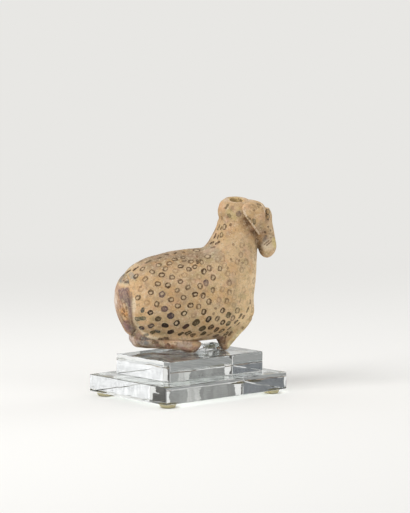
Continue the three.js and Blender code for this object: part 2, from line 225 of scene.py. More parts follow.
def sawn_plate(name, node, arris, lift, squeeze=0.0):
    """A sheet cut to its node's box, its top edges drawn in by squeeze and its arrises eased."""
    low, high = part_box(node)
    low = low + Vector((0, 0, lift))
    shape = bmesh.new()
    bmesh.ops.create_cube(shape, size=1)
    for vert in shape.verts:
        for axis in range(3):
            vert.co[axis] = high[axis] if vert.co[axis] > 0 else low[axis]
        if vert.co.z > (low.z + high.z) / 2:
            vert.co.x += squeeze if vert.co.x < (low.x + high.x) / 2 else -squeeze
            vert.co.y += squeeze if vert.co.y < (low.y + high.y) / 2 else -squeeze
    bmesh.ops.bevel(shape, geom=shape.edges[:], offset=arris, segments=3, profile=0.5, affect="EDGES")
    bmesh.ops.recalc_face_normals(shape, faces=shape.faces)
    for face in shape.faces:
        face.smooth = face.calc_area() < (2 * MM) ** 2
    mesh = bpy.data.meshes.new(name)
    shape.to_mesh(mesh)
    shape.free()
    return add_piece(name, mesh, clear_acrylic, "stand", "clear_acrylic", node)


air_film = 0.04 * MM
sawn_plate("bottom_sheet", "lower_plate", 0.35 * MM, 0)
sawn_plate("top_sheet", "upper_plate", 0.35 * MM, air_film)
sawn_plate("belly_prop", "prop_block", 0.25 * MM, air_film, squeeze=0.5 * MM)

# Flask body: fired buff clay pressed in two mould halves, luted along the middle and wiped over.
# Neck, mouth knob, head and forelegs are joined on while the clay is soft, so they share one skin.
# Rings, spots and dashes are then brushed on in dark slip.
flask_turn = math.radians(-32)
flask_ahead = 3.8
flask_aside = 8.4
seam = 0.3
plate_low, plate_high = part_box("upper_plate")
flask_place = Vector((
    (plate_low.x + plate_high.x) / 2 + flask_ahead * MM,
    (plate_low.y + plate_high.y) / 2 + flask_aside * MM,
    plate_high.z + seam * MM,
))
to_world = Matrix.Translation(flask_place) @ Matrix.Rotation(flask_turn, 4, "Z") @ Matrix.Scale(MM, 4)
to_flask = to_world.inverted()

body_length = 69.8
body_width = 39.0
back_height = 51.0
wall = 3.5
neck_rise = 15.8
neck_width = 17.2
neck_depth = 17.3
rump_x = 1.1 - body_length / 2
breast_x = rump_x + body_length
neck_x = breast_x - 9.5
neck_top = back_height + neck_rise
belly = 4.386 / back_height


def on_body(along, up):
    return rump_x + along * body_length, up * back_height


def on_neck(ahead, up):
    return neck_x + ahead * neck_depth / 2, back_height + up * neck_rise


body_sections = [
    (on_body(0, 0.52), on_body(0, 0.52), 0),
    (on_body(0.012, 0.64), on_body(0.012, 0.40), 0.30 * body_width / 2),
    (on_body(0.034, 0.745), on_body(0.037, 0.29), 0.50 * body_width / 2),
    (on_body(0.083, 0.838), on_body(0.09, 0.195), 0.70 * body_width / 2),
    (on_body(0.174, 0.91), on_body(0.177, 0.13), 0.87 * body_width / 2),
    (on_body(0.291, 0.96), on_body(0.291, 0.098), 0.97 * body_width / 2),
    (on_body(0.428, 0.996), on_body(0.428, belly), body_width / 2),
    (on_body(0.55, 1.012), on_body(0.571, belly), 0.995 * body_width / 2),
    (on_body(0.622, 1.025), on_body(0.743, 0.114), 0.945 * body_width / 2),
    (on_neck(-1.68, 0.22), on_body(0.887, 0.212), 0.87 * body_width / 2),
    (on_neck(-1.47, 0.405), on_body(0.987, 0.325), 0.78 * body_width / 2),
    (on_neck(-1.29, 0.595), on_body(0.993, 0.5), 0.68 * body_width / 2),
    (on_neck(-1.15, 0.775), on_body(1.01, 0.745), 0.585 * body_width / 2),
    (on_neck(-1.09, 0.905), on_body(1.018, 0.98), 1.14 * neck_width / 2),
    (on_neck(-1.03, 0.962), on_neck(1.25, 0.45), 1.05 * neck_width / 2),
    (on_neck(-1, 1), on_neck(1, 1), neck_width / 2),
]


def curve_through(points, t):
    """The point at t, 0 to 1, of a smooth curve through the points."""
    place = t * (len(points) - 1)
    left = min(int(place), len(points) - 2)
    weight = place - left
    p1, p2 = points[left], points[left + 1]
    p0 = points[left - 1] if left > 0 else 2 * p1 - p2
    p3 = points[left + 2] if left + 2 < len(points) else 2 * p2 - p1
    lean1, lean2 = (p2 - p0) / 2, (p3 - p1) / 2
    return (
        p1 + lean1 * weight + (3 * (p2 - p1) - 2 * lean1 - lean2) * weight**2
        + (2 * (p1 - p2) + lean1 + lean2) * weight**3
    )


def skin_rings(sections, count, sides, squareness=2.1, offset=0.0, aside=0.0, start=0.0, place=to_world):
    """Oval rings over the sections, each of which joins a point of the upper line to one of the lower."""
    upper = [Vector((x, half, z)) for (x, z), _, half in sections]
    lower = [Vector((x, 0, z)) for _, (x, z), _ in sections]
    rings = []
    for step in range(count + 1):
        t = start + (1 - start) * step / count
        top, bottom = curve_through(upper, t), curve_through(lower, t)
        half = top.y
        top.y = 0
        middle, reach = (top + bottom) / 2, (top - bottom) / 2
        if reach.length < 1e-6:
            rings.append([place @ Vector((middle.x, aside, middle.z))])
            continue
        reach *= (reach.length + offset) / reach.length
        ring = []
        for turn in np.linspace(0, 2 * math.pi, sides, endpoint=False):
            across, ahead = math.sin(turn), math.cos(turn)
            point = middle + reach * math.copysign(abs(ahead) ** (2 / squareness), ahead)
            point.y = aside + (half + offset) * math.copysign(abs(across) ** (2 / squareness), across)
            ring.append(place @ point)
        rings.append(ring)
    return rings


def turned_rings(profile, centre, sides):
    """Rings of a shape turned on a wheel: profile points are (radius, height) from the centre."""
    rings = []
    for radius, height in profile:
        turns = np.linspace(0, 2 * math.pi, sides, endpoint=False) if radius > 0 else [0]
        ring = [Vector((radius * math.cos(s), radius * math.sin(s), height)) for s in turns]
        rings.append([to_world @ (Vector(centre) + point) for point in ring])
    return rings


def joined(meshes):
    """One mesh holding all the given ones, which are then dropped."""
    shape = bmesh.new()
    for mesh in meshes:
        shape.from_mesh(mesh)
        bpy.data.meshes.remove(mesh)
    whole = bpy.data.meshes.new("joined")
    shape.to_mesh(whole)
    shape.free()
    return whole


def finished(mesh, *steps):
    """The mesh after a list of modifiers, each given as (kind, settings)."""
    holder = bpy.data.objects.new("holder", mesh)
    scene.collection.objects.link(holder)
    for kind, settings in steps:
        modifier = holder.modifiers.new(kind.lower(), kind)
        for key, value in settings.items():
            setattr(modifier, key, value)
    made = bpy.data.meshes.new_from_object(holder.evaluated_get(bpy.context.evaluated_depsgraph_get()))
    bpy.data.objects.remove(holder)
    bpy.data.meshes.remove(mesh)
    for polygon in made.polygons:
        polygon.use_smooth = True
    return made


def luted(meshes, grain, wipes):
    """Pieces of soft clay pushed together into one skin and wiped over."""
    return finished(
        joined(meshes),
        ("REMESH", {"mode": "VOXEL", "voxel_size": grain}),
        ("SMOOTH", {"factor": 0.5, "iterations": wipes}),
    )


clay_grain = 0.48 * MM
body_skin = lofted("body", skin_rings(body_sections, 150, 120, squareness=2.15))

crown_height = 11.6 + seam
crown_radius = 9.3
crown_root = -3
crown_shape = [
    (neck_width / 2 / crown_radius, 0), (0.985, 0.18), (1, 0.35), (0.965, 0.51), (0.885, 0.68), (0.75, 0.78),
    (0.62, 0.845), (0.42, 0.93), (0, 1),
]
crown_points = [Vector((out * crown_radius, 0, up * crown_height)) for out, up in crown_shape]
crown_line = [(0, crown_root), (neck_width / 2, crown_root)]
for t in np.linspace(0, 1, 60):
    point = curve_through(crown_points, t)
    crown_line.append((max(point.x, 0) if t < 1 else 0, point.z))
crown_skin = lofted("crown", turned_rings(crown_line, (neck_x, 0, neck_top), 96))

face_reach = 21.2
face_drop = 20.2
brow_rise = 9.8
face_width = 16.4


def on_face(ahead, up):
    return neck_x + ahead * face_reach, neck_top + up * (brow_rise if up > 0 else face_drop)


face_sections = [
    (on_face(0.2, 1), on_face(0.2, -0.34), 0.92 * face_width / 2),
    (on_face(0.44, 0.95), on_face(0.31, -0.48), face_width / 2),
    (on_face(0.64, 0.77), on_face(0.39, -0.53), 0.98 * face_width / 2),
    (on_face(0.715, 0.555), on_face(0.44, -0.555), 0.95 * face_width / 2),
    (on_face(0.775, 0.56), on_face(0.47, -0.575), 0.92 * face_width / 2),
    (on_face(0.86, 0.3), on_face(0.5, -0.595), 0.85 * face_width / 2),
    (on_face(0.88, -0.1), on_face(0.53, -0.62), 0.77 * face_width / 2),
    (on_face(0.92, -0.31), on_face(0.545, -0.66), 0.71 * face_width / 2),
    (on_face(0.96, -0.52), on_face(0.545, -0.72), 0.66 * face_width / 2),
    (on_face(0.99, -0.72), on_face(0.56, -0.81), 0.6 * face_width / 2),
    (on_face(0.94, -0.88), on_face(0.6, -0.905), 0.49 * face_width / 2),
    (on_face(0.85, -0.98), on_face(0.67, -0.985), 0.3 * face_width / 2),
    (on_face(0.76, -1.02), on_face(0.76, -1.02), 0),
]
face_skin = lofted("face", skin_rings(face_sections, 120, 80))

foreleg_setback = 14.9
fore_tip_x = breast_x - foreleg_setback
fore_heel_x = fore_tip_x - 2.4
foreleg_width = 6.8
foreleg_spread = 8.6


def on_foreleg_front(up):
    return fore_tip_x + 0.93 * up * foreleg_setback, 0.309 * up * back_height


foreleg_sections = [
    (on_body(0.93, 0.38), on_body(0.75, 0.27), 0.50 * foreleg_width),
    (on_body(0.976, 0.325), on_body(0.78, 0.2), 0.56 * foreleg_width),
    (on_foreleg_front(0.8), on_body(0.74, 0.14), 0.55 * foreleg_width),
    (on_foreleg_front(0.43), on_body(0.727, 0.094), 0.48 * foreleg_width),
    (on_foreleg_front(0.17), on_body(0.742, 0.05), 0.37 * foreleg_width),
    ((fore_tip_x, 0), (fore_heel_x, 0), 0.26 * foreleg_width),
]
forelegs = [
    lofted("foreleg", skin_rings(foreleg_sections, 40, 48, aside=side * foreleg_spread / 2))
    for side in (-1, 1)
]

# The foot of each flank laps down over the hind leg, which is splayed out with it
heel_x = rump_x + 5.6
hind_length = fore_heel_x - 11 - heel_x
hind_width = 12.0
hind_height = 9.6
hind_spread = 10.0
hind_splay = math.radians(7)


def splayed(side):
    return (
        to_world @ Matrix.Translation((heel_x, side * hind_spread / 2, 0))
        @ Matrix.Rotation(side * hind_splay, 4, "Z") @ Matrix.Translation((-heel_x, 0, 0))
    )


haunch_sections = [
    ((-27.8, 9.8), (-27.8, 9.8), 0),
    ((-26.8, 11.6), (-26.6, 8.2), 0.28 * hind_width),
    ((-24, 11.8), (-23.6, 5.9), 0.415 * hind_width),
    ((-19, 11.2), (-19, 5.3), 0.49 * hind_width),
    ((-10, 10.8), (-10, 5.7), 0.48 * hind_width),
    ((0, 10.2), (0, 5.8), 0.43 * hind_width),
    ((5, 9), (5, 6), 0.33 * hind_width),
    ((8, 7.6), (8, 7.6), 0),
]
haunches = [lofted("haunch", skin_rings(haunch_sections, 60, 48, place=splayed(side))) for side in (-1, 1)]
flask_skin = luted([body_skin, crown_skin, face_skin, *forelegs, *haunches], clay_grain, 6)

bore = 6.7
dish_width = 16.8
dish_depth = 2.8
mouth_tilt = math.radians(20)
dish_radius = ((dish_width / 2) ** 2 + dish_depth**2) / (2 * dish_depth)
ball = bmesh.new()
bmesh.ops.create_uvsphere(ball, u_segments=96, v_segments=64, radius=dish_radius)
ball.transform(
    to_world @ Matrix.Translation((neck_x, 0, neck_top + crown_height))
    @ Matrix.Rotation(mouth_tilt, 4, "X") @ Matrix.Translation((0, 0, dish_radius - dish_depth))
)
dish = bpy.data.meshes.new("dish")
ball.to_mesh(dish)
ball.free()
drill_reach = crown_height + 6
drill_line = [(0, -6), (bore / 2, -6), (bore / 2, drill_reach), (0, drill_reach)]
drill = lofted("drill", turned_rings(drill_line, (neck_x, 0, neck_top), 64))
hollow = lofted("hollow", skin_rings(body_sections, 60, 64, squareness=2.15, offset=-wall, start=0.1))


def carved(mesh, tool):
    """The mesh with the tool's shape cut out of it."""
    knife = bpy.data.objects.new("knife", tool)
    scene.collection.objects.link(knife)
    cut = finished(mesh, ("BOOLEAN", {"operation": "DIFFERENCE", "object": knife, "solver": "EXACT"}))
    bpy.data.objects.remove(knife)
    bpy.data.meshes.remove(tool)
    return cut


flask_skin = carved(flask_skin, luted([hollow, drill], 2 * clay_grain, 2))
flask_skin = carved(flask_skin, dish)


def hand_made(mesh, swell, span, fine, seed):
    """Moves the surface by the slight unevenness that fingers and a wet rag leave."""
    shift = Vector((17.3 * seed, 5.1 * seed, 0))
    for vert, normal in zip(mesh.vertices, [v.normal.copy() for v in mesh.vertices]):
        spot = to_flask @ vert.co + shift
        rise = swell * noise.noise(spot / span) + fine * noise.noise(spot / 1.6)
        vert.co += normal * rise * MM


hand_made(flask_skin, 0.24, 7.0, 0.07, seed=1)

UMBER = linear(86, 64, 43)
BLACK = linear(56, 42, 32)
OLIVE = linear(92, 82, 58)
SLATE = linear(84, 84, 76)
PURPLE = linear(106, 84, 80)
SEPIA = linear(128, 98, 68)
CREAM = linear(214, 194, 162)
ASH = linear(160, 150, 134)


def soft_step(values, low, high):
    share = np.clip((values - low) / (high - low), 0, 1)
    return share * share * (3 - 2 * share)


def near_line(spots, line, width, edge):
    """1 within width of a line drawn on the side view, falling to 0 across the edge."""
    reach = np.full(len(spots), np.inf)
    for start, end in zip(line, line[1:] or line):
        start, run = np.array(start), np.array(end) - start
        share = np.clip((spots - start) @ run / max(run @ run, 1e-9), 0, 1)
        reach = np.minimum(reach, np.linalg.norm(spots - start - share[:, None] * run, axis=1))
    return 1 - soft_step(reach, width, width + edge)


def note(mesh, name, values, by_face=False):
    """Keeps a number, or three, for each vertex or face, for the material to read."""
    kind = "FLOAT_VECTOR" if values.ndim == 2 else "FLOAT"
    layer = mesh.attributes.new(name, kind, "FACE" if by_face else "POINT")
    layer.data.foreach_set("vector" if values.ndim == 2 else "value", values.astype(np.float32).ravel())


def washed(mesh, ground, washes):
    """The ground's colour at each vertex under soft washes, some of slip and clay tone and some of painted light and
    shade: (line on the side view, width, edge, ink, strength).
    """
    spots = []
    for vert in mesh.vertices:
        spot = to_flask @ vert.co
        spots.append(spot + 0.5 * noise.noise_vector(spot / 1.7) + 0.25 * noise.noise_vector(spot / 0.6))
    spots = np.array(spots)
    colours = np.tile(np.array(ground[:3]), (len(spots), 1))
    for line, width, edge, ink, strength in washes:
        amount = strength * near_line(spots[:, [0, 2]], line, width, edge)[:, None]
        colours = colours * (1 - amount) + np.array(ink[:3]) * amount
    return colours


def tree_of(mesh):
    return bvhtree.BVHTree.FromPolygons([v.co for v in mesh.vertices], [p.vertices for p in mesh.polygons])


def drawn(tree, side, start, end, radius, fill, strength, ink):
    """One stroke on a side of the flask: a ring or, filled, a blot, drawn out from start to end."""
    ends = []
    for x, z in (start, end):
        origin = to_world @ Vector((x, side * body_length, z))
        hit = tree.ray_cast(origin, to_world.to_3x3() @ Vector((0, -side, 0)))[0]
        ends.append(hit or tree.find_nearest(to_world @ Vector((x, 2 * side, z)))[0])
    run = (ends[1] - ends[0]) / 2
    longest = 0.8 * MM * math.hypot(end[0] - start[0], end[1] - start[1])
    run *= min(1, longest / max(run.length, 1e-9))
    return [((ends[0] + ends[1]) / 2, run, radius * MM, fill, strength, ink)]


def painted(mesh, strokes):
    """Keeps for each face the stroke nearest to it: place, run, look and ink."""
    samples = [(place + share * run, index) for index, (place, run, *_) in enumerate(strokes) for share in (-1, 0, 1)]
    nearest = kdtree.KDTree(len(samples))
    for spot, index in samples:
        nearest.insert(spot, index)
    nearest.balance()
    found = np.array([nearest.find(face.center)[1] for face in mesh.polygons])
    note(mesh, "mark_place", np.array([stroke[0] for stroke in strokes])[found], by_face=True)
    note(mesh, "mark_run", np.array([stroke[1] for stroke in strokes])[found], by_face=True)
    note(mesh, "mark_look", np.array([stroke[2:5] for stroke in strokes])[found], by_face=True)
    note(mesh, "mark_ink", np.array([stroke[5][:3] for stroke in strokes])[found], by_face=True)


# Each mark is (along, up) on the side view of the flask, in millimetres, rump to breast
dark_rings = [
    (-14, 40.2), (-4.1, 44.2), (-6.6, 47.4), (-26.4, 39.2), (7.3, 41.6), (11.9, 38.5), (2.3, 30.5), (-3.5, 29),
    (-9.8, 28), (-6.4, 24.8), (0, 25.1), (16.8, 21.8), (17.2, 15.5), (-19.7, 31.7), (-11.2, 35.1), (-16.2, 35.9), (14.2, 17.7),
]
worn_rings = [
    (-23, 42.8), (-18.5, 41.6), (-22.1, 38.2), (-12, 43.1), (-8.9, 39.1), (-4.9, 37), (-1.2, 34.1), (-6.6, 32.7),
    (-25.9, 28.9), (-16.8, 25.8), (6.3, 46.2), (2.9, 44), (-0.2, 42.8), (10.4, 43.2), (15.6, 42.9), (5, 34.6),
    (20.2, 35.7), (20.2, 31), (6.5, 29.8), (11.5, 32.4), (18.8, 26.7), (9.5, 26.6), (4.1, 24.4), (24.8, 21.3),
    (22.5, 17.4), (19.3, 63.2), (17.6, 59.1), (-9.6, 45.6), (-14.8, 44.8), (-2.4, 48.2), (1.2, 46.4),
]
faint_rings = [
    (-6.9, 42), (-2.8, 40.1), (1.4, 49.2), (19.6, 40.3), (4.6, 39.2), (1.2, 37.3), (16.4, 32.6), (-21.7, 26.5),
    (14.8, 27.3), (22.9, 28.3), (26.9, 26.5), (28, 31.7), (27.1, 41.8), (27.5, 54), (14.8, 47), (18, 44.3),
    (-24.6, 33), (31.3, 36), (22.7, 24.3), (17.3, 47.3), (25, 45.9), (30, 45.6), (27, 49.2), (1.8, 19.6),
]
purple_spots = [(8.1, 36.1), (-13.1, 23.4)]
olive_spots = [(19.9, 19.3), (20.3, 14.7)]
slanted_rings = [(14.2, 11.6), (17, 10.7), (20.1, 8.7), (14.6, 7.9)]
dashes = [
    (24.6, 15.3), (26.1, 13.9), (21.2, 11.9), (26.6, 18.2), (28.4, 17.5), (30.4, 21.1), (22.3, 8.8), (-2.1, 46.7),
    (-13.8, 47.8), (-9.8, 49.3), (4.6, 46.3), (31.9, 25.2), (-5.4, 50), (-1.4, 50.4),
]
dots = [
    (-11.2, 47.5), (-16, 46), (4.8, 48.7), (-24.5, 34.2), (12.9, 23), (12, 20.5), (19.8, 43), (28.9, 54.2),
    (22.3, 64.2), (26, 46.4), (23.2, 54.5), (27.8, 45.2), (21.7, 47.3), (19.4, 4.6), (28.8, 11.5),
]
# (places, radius, half-run, fill, strength, ink)
mark_kinds = [
    (dark_rings, 0.95, 0.25, 0.25, 1.15, UMBER), (worn_rings, 0.95, 0.25, 0.2, 0.9, UMBER),
    (faint_rings, 1.0, 0.25, 0.15, 0.45, SEPIA), (purple_spots, 1.1, 0.25, 0.95, 1.1, PURPLE),
    (olive_spots, 0.85, 0.35, 0.85, 1.2, OLIVE), (slanted_rings, 0.7, 0.7, 0.6, 1.2, UMBER),
    (dashes, 0.25, 0.75, 1.0, 1.0, UMBER), (dots, 0.25, 0.1, 1.0, 0.8, SEPIA),
]
# Low on the flank the brush was fuller: (start, end, radius, fill, strength, ink) of each mark
GREEN = linear(104, 104, 84)
MOSS = linear(84, 69, 46)
OXIDE = linear(72, 46, 36)
PLUM = linear(78, 64, 64)
full_marks = [
    ((-23.9, 22.2), (-23.6, 23), 0.62, 0.95, 1.0, SLATE), ((-20.3, 21.3), (-19.7, 21.6), 0.8, 0.5, 1.3, BLACK),
    ((-26.5, 17.8), (-25.6, 17.9), 0.75, 0.8, 1.1, GREEN), ((-24.6, 18.2), (-22.9, 18.4), 0.6, 1.0, 1.2, GREEN),
    ((-16.4, 18.1), (-15.8, 18.3), 0.95, 0.92, 1.4, MOSS), ((-10.2, 19.7), (-9.6, 19.9), 1.2, 0.85, 1.3, PLUM),
    ((-23.9, 12.8), (-23.5, 13.2), 0.95, 0.95, 1.4, PLUM), ((-19.7, 14.2), (-19.1, 14.7), 0.9, 0.6, 1.2, PLUM),
    ((-12.9, 14.8), (-12.1, 14.6), 1.0, 1.0, 1.8, BLACK), ((-6.9, 15.6), (-6.5, 16), 1.05, 0.15, 1.6, BLACK),
    ((-2.6, 13.4), (-1.2, 14.5), 0.65, 0.9, 1.6, OXIDE), ((2.8, 15.5), (3.6, 16.3), 1.2, 0.8, 1.6, MOSS),
    ((6.2, 12.1), (7.2, 12.9), 0.95, 0.82, 1.6, MOSS), ((10.8, 12.8), (11.6, 13.5), 0.9, 0.8, 1.3, UMBER),
    ((-22.1, 9.3), (-20.7, 9.5), 0.35, 1.0, 0.75, SLATE), ((-18.6, 10.6), (-17.5, 11.3), 0.6, 0.7, 1.1, OLIVE),
    ((-16.5, 11.6), (-15.3, 11.2), 0.6, 0.75, 1.2, SLATE), ((-9.6, 10.9), (-8.9, 11.2), 1.05, 1.0, 1.7, BLACK),
    ((-4.7, 9.5), (-3.2, 10.4), 0.4, 1.0, 1.4, MOSS), ((-1, 10), (0.3, 10.7), 0.75, 0.75, 1.3, MOSS),
    ((1.6, 8.9), (2.9, 9.5), 0.55, 0.75, 1.0, UMBER), ((7.1, 9.2), (8.1, 10.1), 0.75, 0.9, 1.5, MOSS),
    ((10.2, 8.7), (11.8, 9.5), 0.3, 1.0, 0.9, SEPIA), ((9.3, 17.1), (9.9, 18), 0.95, 0.5, 1.5, BLACK),
    ((6.8, 21), (7, 22), 0.85, 0.15, 1.1, UMBER), ((-3.4, 20.8), (-3, 21), 1.0, 0.05, 1.3, MOSS),
    ((-14.5, 30.5), (-14.1, 30.9), 1.05, 0.35, 1.1, PURPLE), ((-17.8, 6.6), (-16.6, 6.2), 0.5, 0.8, 1.1, MOSS),
    ((-14.6, 7.4), (-13.2, 7.2), 0.35, 1.0, 1.1, UMBER), ((-12.2, 7.6), (-10.8, 7.4), 0.5, 0.3, 1.0, UMBER),
    ((20, 9), (20.4, 9.8), 0.1, 1.0, 1.1, BLACK), ((19.7, 6), (20, 7.2), 0.05, 1.0, 0.8, UMBER),
    ((19.2, 3.6), (19.6, 5.2), 0, 1.0, 0.8, UMBER),
]
# Along the back and up the nape the dashes follow the outline
full_marks += [
    ((-26.9, 42), (-24.9, 43.3), 0.3, 0.9, 1.2, UMBER), ((-24.2, 45.1), (-22.6, 46.1), 0.25, 1, 1.1, UMBER),
    ((-20.9, 45.4), (-18.6, 46.5), 0.3, 0.8, 1.0, OLIVE), ((-30.2, 40), (-28.6, 41.5), 0.2, 1, 1.1, UMBER),
    ((16.6, 61.9), (17.4, 63.7), 0.25, 1, 0.9, OLIVE), ((17.6, 61.8), (18.2, 63.2), 0, 1, 0.9, UMBER),
    ((14.6, 57.6), (15.4, 59.2), 0.3, 1, 1.2, UMBER), ((15.8, 57.4), (16.4, 58.8), 0.05, 1, 1.0, UMBER),
    ((12.6, 54.5), (13.8, 55.3), 0.2, 1, 1.1, UMBER), ((14.8, 54.6), (16.2, 55.6), 0.25, 1, 1.1, UMBER),
    ((12.4, 52.6), (14.2, 53.2), 0.05, 1, 0.7, UMBER),
]
rng = np.random.default_rng(7)
flask_tree = tree_of(flask_skin)
strokes = []
for side in (-1, 1):
    for spots, radius, run, fill, strength, ink in mark_kinds:
        for x, z in spots:
            if side > 0:
                x, z = x + rng.uniform(-1.2, 1.2), z + rng.uniform(-1.2, 1.2)
            steep = np.interp(z, (10, 24), (38, 85)) if x > 4 else np.interp(x, (-24, -16), (42, 12))
            lean = math.radians(rng.normal(steep, 7 if x > 4 or x < -22 else 26))
            half = run * rng.uniform(0.7, 1.3)
            across, rise = half * math.cos(lean), half * math.sin(lean)
            hold = 0.65 if x > 18 and 24 < z < 40 else 1.0
            strokes += drawn(flask_tree, side, (x - across, z - rise), (x + across, z + rise),
                             radius * rng.uniform(0.9, 1.1), fill, hold * strength * rng.uniform(0.85, 1.1), ink)
    for start, end, radius, fill, strength, ink in full_marks:
        shift = np.array((0, 0)) if side < 0 else rng.uniform(-1.2, 1.2, 2)
        strokes += drawn(flask_tree, side, start + shift, end + shift, radius, fill, strength, ink)

# The back, the nape and the breast carry more rings, each set where most room is left
turn_count = 96
outer_rings = skin_rings(body_sections, 120, turn_count, squareness=2.15)
ridge = [point for ring in outer_rings for turn, point in enumerate(ring) if abs(math.sin(2 * math.pi * turn / turn_count)) < 0.62]
ridge_mm = np.array([to_flask @ point for point in ridge])
tail_zone = (ridge_mm[:, 0] < rump_x + 7) & (ridge_mm[:, 2] < 42)
ridge_mm = ridge_mm[(ridge_mm[:, 2] > 9) & (ridge_mm[:, 2] < 63) & ~tail_zone]
taken = np.array([to_flask @ stroke[0] for stroke in strokes])
room = np.min(np.linalg.norm(ridge_mm[:, None] - taken[None], axis=2), axis=1)
ring_room = 4.7
while room.max() > ring_room:
    spot = ridge_mm[room.argmax()]
    room = np.minimum(room, np.linalg.norm(ridge_mm - spot, axis=1))
    run = Vector(rng.normal(0, 0.25, 3))
    worn = 0.45 if spot[0] > 22 else 0.85
    strokes.append((to_world @ Vector(spot), to_world.to_3x3() @ run, rng.uniform(1.1, 1.35) * MM,
                    0.1 if spot[2] > 20 else 0.6, worn * rng.uniform(0.8, 1.1), UMBER))

# Head: (start, end, radius, fill, strength, ink) of the lines and dots on crown and face
head_strokes = [
    ((21.2, 74.4), (20.1, 72.7), 0.3, 1, 0.85, OLIVE), ((21.6, 68.9), (21.7, 68.8), 0.75, 1, 0.75, OLIVE),
    ((26.2, 69.8), (26.3, 69.9), 0.95, 1, 0.75, PURPLE), ((23.2, 73.2), (22.7, 72.2), 0.5, 1, 0.4, PURPLE),
    ((18.6, 66.9), (18.5, 67.8), 0.35, 1, 0.6, UMBER), ((42, 62.9), (42.1, 62.7), 0.2, 1, 0.7, OXIDE),
    ((44.1, 59.2), (44.6, 58.2), 0, 1, 0.5, SEPIA), ((40.3, 60.3), (40.7, 59.9), 0.15, 1, 1.3, UMBER),
    ((43.2, 61.2), (43.5, 60.7), 0, 1, 0.7, UMBER), ((43.3, 56.9), (45.2, 58.4), 0, 1, 1.0, SEPIA),
    ((41.5, 53.3), (44, 55.4), -0.04, 1, 0.9, SEPIA), ((40.4, 53.8), (42.5, 55.6), -0.02, 1, 0.9, SEPIA),
    ((40, 55.6), (40.9, 58), 0.3, 1, 0.7, SLATE), ((42, 55.9), (44.4, 57.7), 0, 1, 0.9, CREAM),
    ((43.2, 59.3), (43.3, 59.1), 0.12, 1, 0.6, SEPIA),
]
for side in (-1, 1):
    for start, end, radius, fill, strength, ink in head_strokes:
        strokes += drawn(flask_tree, side, start, end, radius, fill, strength, ink)
painted(flask_skin, strokes)

